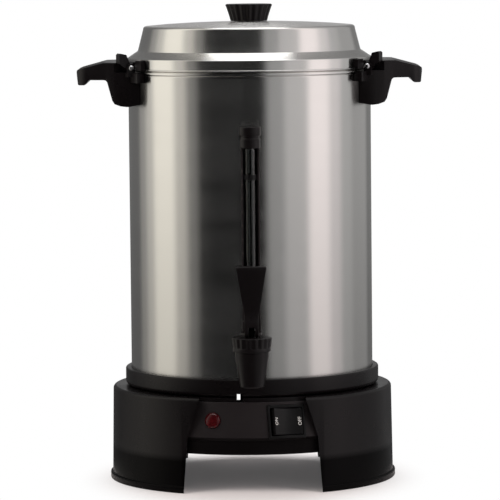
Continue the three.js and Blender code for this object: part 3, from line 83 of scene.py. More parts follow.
def spun(name, outline, steps=192, y=None):
    """A round piece: an outline of (radius, height) points turned about an upright axis, which is
    the tank's own unless its y is given."""
    y = AXIS_Y if y is None else y
    points, rings = [], []
    for radius, height in outline:
        count = 1 if radius == 0 else steps
        rings.append((len(points), count))
        for i in range(count):
            angle = math.tau * i / steps
            points.append((radius * math.sin(angle), y - radius * math.cos(angle), height))
    faces = []
    pairs = list(zip(rings, rings[1:]))
    if outline[0][0] > 0:
        pairs.append((rings[-1], rings[0]))
    for (low, low_count), (high, high_count) in pairs:
        for i in range(steps):
            j = (i + 1) % steps
            if low_count == 1:
                faces.append((low, high + i, high + j))
            elif high_count == 1:
                faces.append((low + i, low + j, high))
            else:
                faces.append((low + i, low + j, high + j, high + i))
    return finished(name, mesh_of(name, points, faces))


def round_off(x, z, radius, start, end, steps):
    """Points of an arc in an outline, with its angles in degrees from the outward direction."""
    angles = [math.radians(start + (end - start) * i / steps) for i in range(steps + 1)]
    return [(x + radius * math.cos(a), z + radius * math.sin(a)) for a in angles]


def shade(piece, angle):
    """Smooth shading that keeps edges sharper than the angle."""
    piece.data.shade_smooth()
    piece.data.set_sharp_from_angle(angle=math.radians(angle))


def srgb(code):
    """A colour written as sRGB hex, as the linear values that the shader works in."""
    parts = [int(code[i : i + 2], 16) / 255 for i in (0, 2, 4)]
    return [p / 12.92 if p <= 0.04045 else ((p + 0.055) / 1.055) ** 2.4 for p in parts] + [1.0]


def add(tree, kind, values=None, **settings):
    """Adds one node with its settings, and sets or links its inputs by name or number."""
    node = tree.nodes.new(kind)
    for name, value in settings.items():
        setattr(node, name, value)
    for name, value in (values or {}).items():
        socket = node.inputs[name]
        if isinstance(value, bpy.types.NodeSocket):
            tree.links.new(value, socket)
        else:
            socket.default_value = value
    return node


def new_material(name):
    """An empty material, its node tree, and the place of a point on its piece, in metres."""
    made = bpy.data.materials.new(name)
    made.use_nodes = True
    tree = made.node_tree
    tree.nodes.clear()
    return made, tree, add(tree, "ShaderNodeTexCoord").outputs["Object"]


def buffed_aluminium(name, color, roughness, line_mm, depth):
    """Aluminium buffed while it spins: fine level lines, so highlights run up and down in bands."""
    made, tree, place = new_material(name)
    line_scale, haze_scale = (9, 9, 1 / (line_mm * MM)), (14, 14, 60)
    drawn = add(tree, "ShaderNodeMapping", {"Vector": place, "Scale": line_scale}).outputs[0]
    lines = add(tree, "ShaderNodeTexNoise", {"Vector": drawn, "Scale": 1.0, "Detail": 3.0})
    spread = add(tree, "ShaderNodeMapping", {"Vector": place, "Scale": haze_scale}).outputs[0]
    haze = add(tree, "ShaderNodeTexNoise", {"Vector": spread, "Scale": 1.0, "Detail": 4.0})
    rough = add(
        tree,
        "ShaderNodeMapRange",
        {
            "Value": haze.outputs["Fac"],
            "From Min": 0.3,
            "From Max": 0.7,
            "To Min": roughness * 0.9,
            "To Max": roughness * 1.12,
        },
    )
    bump = add(
        tree,
        "ShaderNodeBump",
        {"Height": lines.outputs["Fac"], "Strength": 1.0, "Distance": depth * MM},
    )
    upright = add(tree, "ShaderNodeCombineXYZ", {"Z": 1.0}).outputs[0]
    shader = add(
        tree,
        "ShaderNodeBsdfPrincipled",
        {
            "Base Color": srgb(color),
            "Metallic": 1.0,
            "Roughness": rough.outputs["Result"],
            "Anisotropic": 0.85,
            "Tangent": upright,
            "Normal": bump.outputs[0],
        },
    )
    add(tree, "ShaderNodeOutputMaterial", {"Surface": shader.outputs[0]})
    return made


# Buffed sheet aluminium: bright, slightly warm, with fine lines round the tank that spread lights.
TANK_ALUMINIUM = buffed_aluminium("buffed_drawn_aluminium", "E2E0DD", 0.23, 0.9, 0.004)

TANK_RADIUS = 114.3
TANK_WALL = 1.2
TANK_FLOOR = 92.0
TANK_RIM = 386.4
TANK_CORNER = 4.0
BEAD_RADIUS = 2.1
BEAD_LEVEL = 384.3
tank_bore = TANK_RADIUS - TANK_WALL
corner_radius, corner_level = TANK_RADIUS - TANK_CORNER, TANK_FLOOR + TANK_CORNER
tank = spun(
    "tank_shell",
    [(0, 84), (25.5, 84), (27, 85.5), (28.2, TANK_FLOOR)]
    + round_off(corner_radius, corner_level, TANK_CORNER, -90, 0, 8)
    + [(TANK_RADIUS, 380.6), (TANK_RADIUS, 382.0)]
    + round_off(TANK_RADIUS - 1.2, BEAD_LEVEL, BEAD_RADIUS, -65, 65, 10)
    + [(TANK_RADIUS - 0.4, TANK_RIM), (tank_bore, TANK_RIM), (tank_bore, TANK_RIM - 5)]
    + round_off(corner_radius, corner_level, TANK_CORNER - TANK_WALL, 0, -90, 8)
    + [(27, 93.2), (26, 92.4), (25.6, 85.2), (0, 85.2)],
    256,
)
shade(tank, 40)
tank.data.materials.append(TANK_ALUMINIUM)
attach(tank, "urn")
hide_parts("tank")

# Tank nuts
# Three zinc-plated steel nuts on studs welded under the tank clamp the base and its collar to it.


def dressed(material, *nodes):
    """Gives CAD pieces whose shape is right the material that they are made of."""
    for node in nodes:
        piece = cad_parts[node]
        piece.data.materials.clear()
        piece.data.materials.append(material)


def metal(name, color, roughness, grain_mm, depth):
    """Plain metal with a fine grain, which breaks up its highlights a little."""
    made, tree, place = new_material(name)
    grain_scale = 1 / (grain_mm * MM)
    grain = add(tree, "ShaderNodeTexNoise", {"Vector": place, "Scale": grain_scale, "Detail": 3.0})
    rough = add(
        tree,
        "ShaderNodeMapRange",
        {
            "Value": grain.outputs["Fac"],
            "From Min": 0.3,
            "From Max": 0.7,
            "To Min": roughness * 0.75,
            "To Max": roughness * 1.25,
        },
    )
    bump = add(tree, "ShaderNodeBump", {"Height": grain.outputs["Fac"], "Distance": depth * MM})
    shader = add(
        tree,
        "ShaderNodeBsdfPrincipled",
        {
            "Base Color": srgb(color),
            "Metallic": 1.0,
            "Roughness": rough.outputs["Result"],
            "Normal": bump.outputs[0],
        },
    )
    add(tree, "ShaderNodeOutputMaterial", {"Surface": shader.outputs[0]})
    return made


# Zinc-plated steel: pale grey, a little blue, with the fine spangle of the plating.
ZINC_STEEL = metal("zinc_plated_steel", "A9ABAE", 0.36, 1.2, 0.02)
dressed(ZINC_STEEL, "tank_nut_1", "tank_nut_2", "tank_nut_3")

# Base shell
# One moulding of black phenolic: a deck ring on two curved legs with a foot lip, and cheeks that
# line the openings between the legs in front and at the back.


def settled(piece):
    """The same piece with its modifiers made part of its mesh."""
    view = bpy.context.evaluated_depsgraph_get()
    view.update()
    mesh = bpy.data.meshes.new_from_object(piece.evaluated_get(view))
    piece.modifiers.clear()
    piece.data = mesh
    return piece


def carved(piece, *tools, how="DIFFERENCE"):
    """Cuts tools out of a piece, or joins them to it, and removes the tools."""
    for tool in tools:
        cut = piece.modifiers.new("cut", "BOOLEAN")
        cut.solver = "EXACT"
        cut.operation = how
        cut.object = tool
        settled(piece)
        bpy.data.objects.remove(tool)
    return piece


def softened(piece, width, steps, angle):
    """Rounds the sharp edges of a piece, as a mould or a tumbling drum does."""
    bevel = piece.modifiers.new("soft edges", "BEVEL")
    bevel.width = width * MM
    bevel.segments = steps
    bevel.limit_method = "ANGLE"
    bevel.angle_limit = math.radians(angle)
    bevel.harden_normals = False
    settled(piece)


def moulded(name, color, roughness, grain_mm, depth, painted_shade_below=-9.0, edge_mm=1.0):
    """A moulded plastic: even colour, a faint flow mottle, and the fine grain of its mould. Below
    a height in millimetres, over a soft edge, it gets painted shade: darker and duller; most pieces
    have none."""
    made, tree, place = new_material(name)
    flow_mm, gloss, painted_shade_share = 38, 0.22, 0.26
    flow = add(
        tree, "ShaderNodeTexNoise", {"Vector": place, "Scale": 1 / (flow_mm * MM), "Detail": 3.0}
    )
    grain = add(
        tree, "ShaderNodeTexNoise", {"Vector": place, "Scale": 1 / (grain_mm * MM), "Detail": 2.0}
    )
    paler = [min(1.0, c * 1.35) for c in srgb(color)[:3]] + [1.0]
    tint = add(
        tree,
        "ShaderNodeMix",
        {"Factor": flow.outputs["Fac"], 6: srgb(color), 7: paler},
        data_type="RGBA",
    )
    rough = add(
        tree,
        "ShaderNodeMapRange",
        {
            "Value": flow.outputs["Fac"],
            "From Min": 0.3,
            "From Max": 0.7,
            "To Min": roughness * 0.85,
            "To Max": roughness * 1.15,
        },
    )
    height = add(tree, "ShaderNodeSeparateXYZ", {0: place}).outputs["Z"]
    # Painted shade: below the given height the colour goes darker and the gloss duller.
    lit = add(
        tree,
        "ShaderNodeMapRange",
        {
            "Value": height,
            "From Min": (painted_shade_below - edge_mm) * MM,
            "From Max": painted_shade_below * MM,
            "To Min": painted_shade_share,
            "To Max": 1.0,
        },
    ).outputs["Result"]
    shaded_tone = add(
        tree,
        "ShaderNodeMix",
        {"Factor": lit, 6: (0.0, 0.0, 0.0, 1.0), 7: tint.outputs[2]},
        data_type="RGBA",
    )
    shine = add(tree, "ShaderNodeMath", {0: lit, 1: gloss}, operation="MULTIPLY")
    bump = add(tree, "ShaderNodeBump", {"Height": grain.outputs["Fac"], "Distance": depth * MM})
    shader = add(
        tree,
        "ShaderNodeBsdfPrincipled",
        {
            "Base Color": shaded_tone.outputs[2],
            "Roughness": rough.outputs["Result"],
            "IOR": 1.5,
            "Specular IOR Level": shine.outputs[0],
            "Normal": bump.outputs[0],
        },
    )
    add(tree, "ShaderNodeOutputMaterial", {"Surface": shader.outputs[0]})
    return made


# Black phenolic resin, compression moulded: brownish black with a semi-gloss skin. Below 35 mm,
# near the table, the legs get painted shade, a painted reflection of the shaded table there.
FOOT_SHADED_PHENOLIC = moulded("black_phenolic_painted_foot_shade", "0D0A0B", 0.3, 0.9, 0.006, 35.0, 6.0)


def prism(name, outline, low, high, place):
    """An outline raised from one level to another. The place function turns the two numbers of
    the outline and the level to a point in millimetres."""
    count = len(outline)
    points = [place(a, b, c) for c in (low, high) for a, b in outline]
    faces = [tuple(range(count)), tuple(range(2 * count - 1, count - 1, -1))]
    faces += [(i, (i + 1) % count, count + (i + 1) % count, count + i) for i in range(count)]
    return finished(name, mesh_of(name, points, faces))


def slab(name, outline, low, high, plane="XY"):
    """A prism on a plane through the tank's axis."""
    place = {
        "XY": lambda a, b, c: (a, AXIS_Y + b, c),
        "XZ": lambda a, b, c: (a, AXIS_Y + c, b),
        "YZ": lambda a, b, c: (c, AXIS_Y + a, b),
    }[plane]
    return prism(name, outline, low, high, place)


def rectangle(x, y, width, height):
    """The corners of a rectangle from its centre and its sizes."""
    w, h = width / 2, height / 2
    return [(x - w, y - h), (x + w, y - h), (x + w, y + h), (x - w, y + h)]


def block(name, center, size):
    """A box about the tank's axis."""
    (x, y, z), (width, depth, height) = center, size
    return slab(name, rectangle(x, y, width, depth), z - height / 2, z + height / 2)


def ring(name, outer, bore, low, high, steps=192, y=None):
    """A round tube about an upright axis."""
    return spun(name, [(bore, low), (outer, low), (outer, high), (bore, high)], steps, y)


def both_sides(right):
    """An outline from the points of its right half, going up."""
    return right + [(-x, z) for x, z in reversed(right)]


PANEL_LOW = 52.0
PANEL_HIGH = 84.2


def opening_outline(grow, low, high):
    """The outline in X and Z of the openings between the legs, which widen towards the table."""
    foot, knee, top = (64 + grow, 0), (60 + grow, PANEL_LOW), (50 + grow, PANEL_HIGH)

    def half_at(z):
        (xa, za), (xb, zb) = (foot, knee) if z < PANEL_LOW else (knee, top)
        return xa + (xb - xa) * (z - za) / (zb - za)

    return both_sides([(half_at(z), z) for z in (low, PANEL_LOW, high)])


BASE_RADIUS = 133.1
BASE_TOP_RADIUS = 131.8
BASE_WALL = 3.2
DECK = 88.0
DECK_UNDERSIDE = 84.5
DECK_BORE = 104
COLLAR_RADIUS = 119.8
NOTCH_X = -11.6
NOTCH_WIDTH = 5.3
THROUGH = 140
base_inner = BASE_TOP_RADIUS - BASE_WALL
base = spun(
    "base_moulding",
    [(BASE_RADIUS - BASE_WALL, 0)]
    + round_off(134.4, 0.8, 0.8, -90, 0, 3)
    + round_off(134.2, 5, 1, 0, 90, 3)
    + round_off(BASE_RADIUS + 0.6, 6.6, 0.6, 270, 180, 3)
    + round_off(BASE_TOP_RADIUS - 3.2, DECK - 3.2, 3.2, 2, 90, 8)
    + [(DECK_BORE, DECK), (DECK_BORE, DECK_UNDERSIDE), (base_inner, DECK_UNDERSIDE)],
)
outside = BASE_RADIUS - BASE_WALL / 2
lining = slab("lining", opening_outline(3, -4, DECK_UNDERSIDE + 0.01), -THROUGH, THROUGH, "XZ")
deep_lining = ring("deep_lining", outside, outside - 19, 41.5, DECK - 0.3)
foot_lining = ring("foot_lining", outside, outside - 4, 0, DECK - 0.3)
lining_copy = finished("lining_copy", lining.data.copy())
carved(lining, deep_lining, how="INTERSECT")
carved(lining_copy, foot_lining, how="INTERSECT")
carved(base, lining, lining_copy, how="UNION")
doorway = slab("doorway", opening_outline(0, -4, DECK + 4), -THROUGH, THROUGH, "XZ")
core_outline = [(0, PANEL_HIGH), (COLLAR_RADIUS, PANEL_HIGH), (COLLAR_RADIUS, 96), (0, 96)]
core = spun("core", core_outline)
carved(doorway, core)
carved(base, doorway, block("notch", (NOTCH_X, -112, 86), (NOTCH_WIDTH, 24, 12)))
softened(base, 0.3, 2, 40)
shade(base, 40)
base.data.materials.append(FOOT_SHADED_PHENOLIC)
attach(base, "urn")
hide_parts("base_shell")

# Base collar
# A moulded phenolic ring between the base and the tank, rounded below, with a bright-edged
# chamfer at its top where the tank stands in it.

# The same black phenolic resin, alike from top to bottom.
BLACK_PHENOLIC = moulded("black_phenolic_resin", "0D0A0B", 0.3, 0.9, 0.006)
collar = spun(
    "collar_ring",
    [(DECK_BORE, 88.3)]
    + round_off(COLLAR_RADIUS - 4.5, 92.8, 4.5, -90, 0, 8)
    + round_off(COLLAR_RADIUS - 1.5, 103.5, 1.5, 0, 90, 4)
    + [(TANK_RADIUS + 0.3, 105)]
    + round_off(corner_radius, corner_level, TANK_CORNER + 0.3, 0, -90, 6)
    + [(DECK_BORE, 91.7)],
)
carved(collar, block("collar_notch", (NOTCH_X, -112, 86.5), (NOTCH_WIDTH, 24, 10.4)))
shade(collar, 40)
collar.data.materials.append(BLACK_PHENOLIC)
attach(collar, "urn")
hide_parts("base_collar")

# Front and rear panels
# Two phenolic mouldings that fill the openings above the cover: a sloping curved face over a lip,
# with an apron below. The front one carries the switch and the lamp, the rear one the inlet.
PANEL_LOW_RADIUS = 129
PANEL_HIGH_RADIUS = 120
PANEL_GAP = 0.06
panel_run, panel_rise = PANEL_LOW_RADIUS - PANEL_HIGH_RADIUS, PANEL_HIGH - PANEL_LOW
PANEL_SLOPE = math.atan2(panel_run, panel_rise)


def panel_frame(angle, level, rear=False):
    """A frame on a panel's face: X to the right, Y up the slope, Z out of the face."""
    radius = PANEL_HIGH_RADIUS + panel_run * (PANEL_HIGH - level) / panel_rise
    turn = math.radians(angle) + (math.pi if rear else 0)
    out = Vector((math.sin(turn), -math.cos(turn), 0))
    right = Vector((math.cos(turn), math.sin(turn), 0))
    up = Vector((0, 0, 1))
    normal = out * math.cos(PANEL_SLOPE) + up * math.sin(PANEL_SLOPE)
    along = up * math.cos(PANEL_SLOPE) - out * math.sin(PANEL_SLOPE)
    place = Matrix((right, along, normal)).transposed().to_4x4()
    place.translation = (out * radius + Vector((0, AXIS_Y, level))) * MM
    return place


def plate(name, width, height, low, high, place):
    """A rectangular block on a panel's frame, from one depth to another along its Z."""
    made = prism(name, rectangle(0, 0, width, height), low, high, lambda a, b, c: (a, b, c))
    made.data.transform(place)
    return made


def disc(name, outline, place, steps=48):
    """A round piece on a panel's frame, turned about its Z."""
    made = spun(name, outline, steps, y=0)
    made.data.transform(place)
    return made


def panel(name, rear):
    """A ring with the panel's section, trimmed to the opening in front or at the back. The rear
    window starts at 124, where 84 would take the whole panel, so only its middle is left."""
    lip = [(124.4, 36.3), (127, 36.3), (127, 48.8)] + round_off(126.6, 49.6, 0.8, -90, -40, 3)
    face = [(PANEL_LOW_RADIUS, 51.4), (PANEL_LOW_RADIUS, 52.4), (122.0, 81.9)]
    inside = [(117.4, PANEL_HIGH), (126.4, PANEL_LOW), (124.4, 49.4), (124.4, 40.4)]
    apron = [(114.9, 40.4), (114.9, 37.8), (124.4, 37.8)]
    outline = lip + face + round_off(120.5, 83.4, 0.8, 0, 90, 4) + inside + apron
    made = spun(name, outline, 256)
    near, far = (124, THROUGH) if rear else (-THROUGH, -84)
    window = slab("window", opening_outline(-PANEL_GAP, 32, DECK), near, far, "XZ")
    return carved(made, window, how="INTERSECT")


SWITCH = panel_frame(14.4, 66.2)
LAMP = panel_frame(-17, 67.5)
INLET = panel_frame(-13, 66, rear=True)
# The same resin, satin, painted lighter on the faces as painted light, and with painted shade under
# the lip.
LIT_PANEL_PHENOLIC = moulded("black_phenolic_painted_light_and_lip_shade", "1D191A", 0.42, 0.9, 0.006, 52.4, 0.8)
front_panel = panel("control_fascia", False)
carved(
    front_panel,
    plate("switch_hole", 33, 28.4, -12, 12, SWITCH),
    plate("bezel_recess", 35.6, 31.6, -0.9, 8, SWITCH),
    disc("lamp_hole", [(0, -12), (7.5, -12), (7.5, 12), (0, 12)], LAMP),
)
rear_panel = panel("rear_fascia", True)
carved(
    rear_panel,
    plate("inlet_hole", 38.6, 24.6, -12, 12, INLET),
    plate("inlet_recess", 43.4, 29.4, -0.9, 8, INLET),
    *[block("vent", (12.5 - 9 * i, 122, 65.5), (5.2, 60, 21)) for i in range(5)],
)
for fascia, node in ((front_panel, "control_panel"), (rear_panel, "rear_panel")):
    shade(fascia, 30)
    fascia.data.materials.append(LIT_PANEL_PHENOLIC)
    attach(fascia, "urn")
    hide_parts(node)

# Bottom cover
# A pressed steel disc with a dished middle, zinc plated, which shuts the base from below and is
# held by four pan-head screws in the bosses of the base.
dressed(ZINC_STEEL, "bottom_cover", *[f"cover_screw_{i}" for i in (1, 2, 3, 4)])

# Switch
# A snap-in rocker switch of black nylon: a housing with a flat bezel, and a concave rocker on
# moulded pins, with the two positions printed on its ends.
BLACK_NYLON = moulded("black_nylon", "0C0B0C", 0.38, 1.1, 0.01)

housing = plate("switch_case", 32.4, 27.8, -20.3, -0.3, SWITCH)
carved(housing, plate("bezel", 35, 31, -0.6, 1.6, SWITCH), how="UNION")
carved(housing, plate("rocker_well", 30.2, 25.7, -11.4, 11.4, SWITCH))
softened(housing, 0.5, 3, 40)
shade(housing, 30)
housing.data.materials.append(BLACK_NYLON)
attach(housing, "urn")
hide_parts("switch_housing")

ROCKER_PLACE = (
    SWITCH @ Matrix.Translation((0, 0, -3.5 * MM)) @ Matrix.Rotation(math.radians(9), 4, "Y")
)
ROCKER_HALF = 13.9
ROCKER_HOLLOW = 4.4
ROCKER_RISE = 3.1
ROCKER_CURVE = 1.7


def rocker_level(x):
    """The height of the rocker's hollow face at a place along it."""
    return ROCKER_HOLLOW + ROCKER_RISE * (abs(x) / ROCKER_HALF) ** ROCKER_CURVE


belly_half, belly_depth = ROCKER_HALF * 0.6, -5.5
rocker_outline = [(-ROCKER_HALF, -2.2), (-belly_half, belly_depth)]
rocker_outline += [(belly_half, belly_depth), (ROCKER_HALF, -2.2)]
rocker_outline += [(x, rocker_level(x)) for x in (ROCKER_HALF * (1 - i / 6) for i in range(13))]
rocker = prism("switch_rocker", rocker_outline, -12.25, 12.25, lambda a, b, c: (a, c, b))
softened(rocker, 0.7, 3, 35)
rocker.data.transform(ROCKER_PLACE)
shade(rocker, 30)
rocker.data.materials.append(BLACK_NYLON)
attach(rocker, "rocker")
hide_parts("rocker")


def printed(name, color, roughness, wear_mm):
    """Pad-printed ink: flat and matt, a little worn where fingers touch it."""
    made, tree, place = new_material(name)
    worn = add(
        tree, "ShaderNodeTexNoise", {"Vector": place, "Scale": 1 / (wear_mm * MM), "Detail": 3.0}
    )
    faded = [c * 0.6 for c in srgb(color)[:3]] + [1.0]
    tint = add(
        tree,
        "ShaderNodeMix",
        {"Factor": worn.outputs["Fac"], 6: srgb(color), 7: faded},
        data_type="RGBA",
    )
    shader = add(
        tree,
        "ShaderNodeBsdfPrincipled",
        {"Base Color": tint.outputs[2], "Roughness": roughness, "IOR": 1.48},
    )
    add(tree, "ShaderNodeOutputMaterial", {"Surface": shader.outputs[0]})
    return made


# White pad-printed ink: off-white and matt, with thin spots.
PRINT_INK = printed("white_pad_print", "F2F0EC", 0.6, 1.6)
INK_THICKNESS = 0.12


def lettering(name, text, size, place):
    """Letters as a thin mesh on a frame's face, centred on it."""
    curve = bpy.data.curves.new(name, "FONT")
    curve.body = text
    curve.size = size * MM
    curve.align_x = "CENTER"
    curve.align_y = "CENTER"
    curve.extrude = INK_THICKNESS / 2 * MM
    curve.resolution_u = 3
    holder = finished(name, curve)
    view = bpy.context.evaluated_depsgraph_get()
    view.update()
    mesh = bpy.data.meshes.new_from_object(holder.evaluated_get(view))
    bpy.data.objects.remove(holder)
    mesh.transform(place)
    letters = finished(name, mesh)
    letters.data.materials.append(PRINT_INK)
    return letters


for name, text, x in (("on_mark", "ON", -11.6), ("off_mark", "OFF", 11.6)):
    slope = ROCKER_RISE * ROCKER_CURVE * (abs(x) / ROCKER_HALF) ** (ROCKER_CURVE - 1)
    lean = math.copysign(math.atan2(slope, ROCKER_HALF), x)
    spot = ROCKER_PLACE @ Matrix.Translation(
        Vector((x, 0, rocker_level(x) + INK_THICKNESS / 2)) * MM
    )
    spot = spot @ Matrix.Rotation(-lean, 4, "Y") @ Matrix.Rotation(math.pi / 2, 4, "Z")
    mark = lettering(name, text, 4.6, spot)
    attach(mark, "rocker")

# Pilot lamp
# A domed red lens snapped into the fascia over a small lamp in a nylon body.


def tinted_lens(name, color, deep, swirl_mm):
    """Clear red plastic over a dark body: glossy, with darker swirls through it."""
    made, tree, place = new_material(name)
    facet_mm, facet_depth = 1.6, 0.05
    swirl = add(
        tree, "ShaderNodeTexNoise", {"Vector": place, "Scale": 1 / (swirl_mm * MM), "Detail": 2.0}
    )
    tint = add(
        tree,
        "ShaderNodeMix",
        {"Factor": swirl.outputs["Fac"], 6: srgb(deep), 7: srgb(color)},
        data_type="RGBA",
    )
    facets = add(tree, "ShaderNodeTexVoronoi", {"Vector": place, "Scale": 1 / (facet_mm * MM)})
    bump = add(
        tree,
        "ShaderNodeBump",
        {"Height": facets.outputs["Distance"], "Distance": facet_depth * MM},
    )
    shader = add(
        tree,
        "ShaderNodeBsdfPrincipled",
        {
            "Base Color": tint.outputs[2],
            "Roughness": 0.16,
            "IOR": 1.49,
            "Specular IOR Level": 0.35,
            "Coat Weight": 0.15,
            "Coat Roughness": 0.04,
            "Normal": bump.outputs[0],
        },
    )
    add(tree, "ShaderNodeOutputMaterial", {"Surface": shader.outputs[0]})
    return made


# Red acrylic: deep red with a wet gloss and a faint pattern of facets inside.
RED_ACRYLIC = tinted_lens("red_acrylic", "4C0B0F", "200508", 3.0)
DOME_RADIUS = 7.2
DOME_LEVEL = 1.2
DOME_RISE = 3.6
dome_angles = [math.radians(9 * i) for i in range(10)]
dome = [
    (DOME_RADIUS * math.cos(a), DOME_LEVEL + DOME_RISE * math.sin(a)) for a in dome_angles
]
lens_outline = [(0, -4.9), (9, -4.9), (9, -3.5), (DOME_RADIUS, -3.5)] + dome
lens = disc("pilot_lens", lens_outline + [(0, DOME_LEVEL + DOME_RISE)], LAMP, 64)
shade(lens, 40)
lens.data.materials.append(RED_ACRYLIC)
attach(lens, "urn")
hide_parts("indicator_lens")
dressed(BLACK_NYLON, "indicator_lamp")

# Power inlet
# A shrouded nylon socket in the rear panel with two brass pins, for a cord that pulls off.
inlet = plate("inlet_shroud", 38, 24, -20.7, 0.3, INLET)
carved(inlet, plate("inlet_flange", 42.8, 28.8, -0.6, 1.4, INLET), how="UNION")
carved(inlet, plate("inlet_socket", 32.8, 18.8, -17, 8, INLET))
softened(inlet, 0.6, 3, 40)
shade(inlet, 30)
inlet.data.materials.append(BLACK_NYLON)
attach(inlet, "urn")
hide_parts("inlet_housing")

# Turned brass: warm yellow and bright, with faint turning lines.
BRASS = metal("turned_brass", "C4A35C", 0.28, 0.8, 0.01)
dressed(BRASS, "inlet_pin_1", "inlet_pin_2")

# Heating
# A sheathed heating tube bent to a ring under the tank, with a thermostat and a thermal fuse
# pressed to the metal beside it.

# Oxidised heater sheath: brownish grey and dull, blotched by heat.
HEATER_SHEATH = metal("oxidised_heater_sheath", "6B645B", 0.6, 4.0, 0.05)
# Bright stainless steel: neutral and fairly sharp, with a fine drawn grain.
STAINLESS = metal("bright_stainless_steel", "BDBDBF", 0.24, 0.9, 0.01)
dressed(HEATER_SHEATH, "heating_element")
dressed(BLACK_NYLON, "thermostat")
dressed(STAINLESS, "thermal_fuse")

# Handles
# Two compression-moulded phenolic handles, left and right alike: a block that hugs the tank, held
# by two screws from inside, and a thin arm that ends in a turned-down lip.
HANDLE_TOP = 394.2
HANDLE_BACK = 95
LATCH_RADIUS = 122.6
LATCH_LEVEL = 389.4
LATCH_FRONT = 48.9
CHEEK_RADIUS = 3.9
CHEEK_HALF = 7.8
SEAT_RADIUS = 114.6
AXIS = Matrix.Translation((0, AXIS_Y * MM, 0))
about_z = Matrix.Rotation(-math.asin(LATCH_FRONT / LATCH_RADIUS), 4, "Z")
LATCH_TURN = AXIS @ about_z @ AXIS.inverted()


def mirrored(piece):
    """Moves a piece to the other side of the urn, as its mirror image."""
    piece.data.transform(Matrix.Diagonal((-1, 1, 1, 1)))
    piece.data.flip_normals()


def handle(name, side):
    """The right handle, or its mirror image on the left."""
    underside = [(HANDLE_BACK, 356.6), (111, 353.4), (114, 353.1), (120, 353.8), (125.6, 355.8)]
    underside += [(127.8, 359.0), (132.5, 376.4), (134.0, 377.9), (135.8, 378.2), (149.2, 378.2)]
    lip = [(150.4, 377.4), (152.6, 374.1), (154.2, 373.4), (159.0, 373.3), (160.2, 374.0)]
    lip += [(161.5, 385.4), (161.0, 387.1)]
    top = [(158.8, 388.1), (138.8, 393.4), (136, 394.1), (132, HANDLE_TOP)]
    top += [(HANDLE_BACK, HANDLE_TOP)]
    body = slab(name, underside + lip + top, -60, 60, "XZ")

    corner_x, corner_y, corner = 149.6, 32, 12
    turns = [math.radians(15 * i) for i in range(1, 7)]
    plan = [(HANDLE_BACK, -52), (118, -52), (126, -50.4), (134, -48), (corner_x, -44)]
    plan += [(corner_x + corner * math.sin(a), -corner_y - corner * math.cos(a)) for a in turns]
    plan += [(x, -y) for x, y in reversed(plan)]
    carved(body, slab("footprint", plan, 345, 400), how="INTERSECT")

    lug = ring("lug", LATCH_RADIUS, 110, 375.6, 384.6, 96)
    lug_angles = [math.radians(d) for d in (31.9, 25.6)]
    wedge = [(0, 0)] + [(150 * math.cos(a), -150 * math.sin(a)) for a in lug_angles]
    carved(lug, slab("wedge", wedge, 370, 390), how="INTERSECT")
    cheek = round_off(LATCH_RADIUS, LATCH_LEVEL, CHEEK_RADIUS, 0, 180, 14)
    cheek += [(LATCH_RADIUS - CHEEK_RADIUS, 381), (LATCH_RADIUS + CHEEK_RADIUS, 381)]
    cheeks = slab("cheeks", cheek, -CHEEK_HALF, CHEEK_HALF, "XZ")
    cheeks.data.transform(LATCH_TURN)
    carved(body, lug, cheeks, how="UNION")

    seat_outline = [(0, 340), (SEAT_RADIUS, 340), (SEAT_RADIUS, 381.9), (115.5, 382.9)]
    seat_outline += [(115.5, 384.6), (119.6, 384.6), (119.6, 400), (0, 400)]
    slot = block("latch_slot", (LATCH_RADIUS + 3.2, 0, LATCH_LEVEL + 6.8), (18.8, 9.6, 22))
    slot.data.transform(LATCH_TURN)
    carved(body, spun("seat", seat_outline, 144), slot)
    softened(body, 1.0, 3, 34)
    if side < 0:
        mirrored(body)
    shade(body, 30)
    body.data.materials.append(BLACK_PHENOLIC)
    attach(body, "urn")
    return body


for name, side, node in (
    ("handle_grip_right", 1, "handle_right"),
    ("handle_grip_left", -1, "handle_left"),
):
    grip = handle(name, side)
    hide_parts(node)
dressed(STAINLESS, *[f"handle_screw_{a}_{b}" for a in ("right", "left") for b in ("front", "rear")])

# Each latch turns on a steel rivet, with its domed head in front.
RIVET_RADIUS = 1.5
HEAD_RADIUS = 2.6
HEAD_SEAT = 8.1
rivet_outline = [(0, -CHEEK_HALF), (RIVET_RADIUS, -CHEEK_HALF)]
rivet_outline += [(RIVET_RADIUS, HEAD_SEAT), (HEAD_RADIUS, HEAD_SEAT)]
rivet_outline += round_off(0, 7.3, HEAD_RADIUS, 26, 60, 6) + [(0, 9.6)]
latch_place = Matrix.Translation(Vector((LATCH_RADIUS, AXIS_Y, LATCH_LEVEL)) * MM)
for name, side in (("latch_pin_right", 1), ("latch_pin_left", -1)):
    rivet = spun(f"{name}_rivet", rivet_outline, 48, y=0)
    rivet.data.transform(LATCH_TURN @ latch_place @ Matrix.Rotation(math.pi / 2, 4, "X"))
    if side < 0:
        mirrored(rivet)
    shade(rivet, 40)
    rivet.data.materials.append(STAINLESS)
    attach(rivet, "urn")
    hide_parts(name)

# Latches
# Small phenolic levers that turn on steel pins in the handles: a nose that swings down over the
# bead of the lid, and a tab for the thumb. They stand open.
dressed(BLACK_PHENOLIC, "latch_right", "latch_left")

# Tap body
# One phenolic moulding: a shank through the tank wall, a valve chamber with the spout below, and
# the tower that the sight gauge stands in.
TAP_Y = -153.0
GAUGE_Y = -124.8
TAP_LINE = AXIS_Y + TAP_Y
GAUGE_LINE = AXIS_Y + GAUGE_Y
FLANGE_BACK = -117.5
SHANK_LEVEL = 123


def rod_along_y(name, radius, back, front, level):
    """A round bar along Y at a level above the table."""
    made = spun(name, [(0, back), (radius, back), (radius, front), (0, front)], 64, y=0)
    made.data.transform(Matrix.Rotation(-math.pi / 2, 4, "X"))
    made.data.transform(Matrix.Translation(Vector((0, AXIS_Y, level)) * MM))
    return made


def rod(name, radius, low, high, y, steps=64):
    """A round upright bar in front of the tank."""
    return spun(name, [(0, low), (radius, low), (radius, high), (0, high)], steps, y)


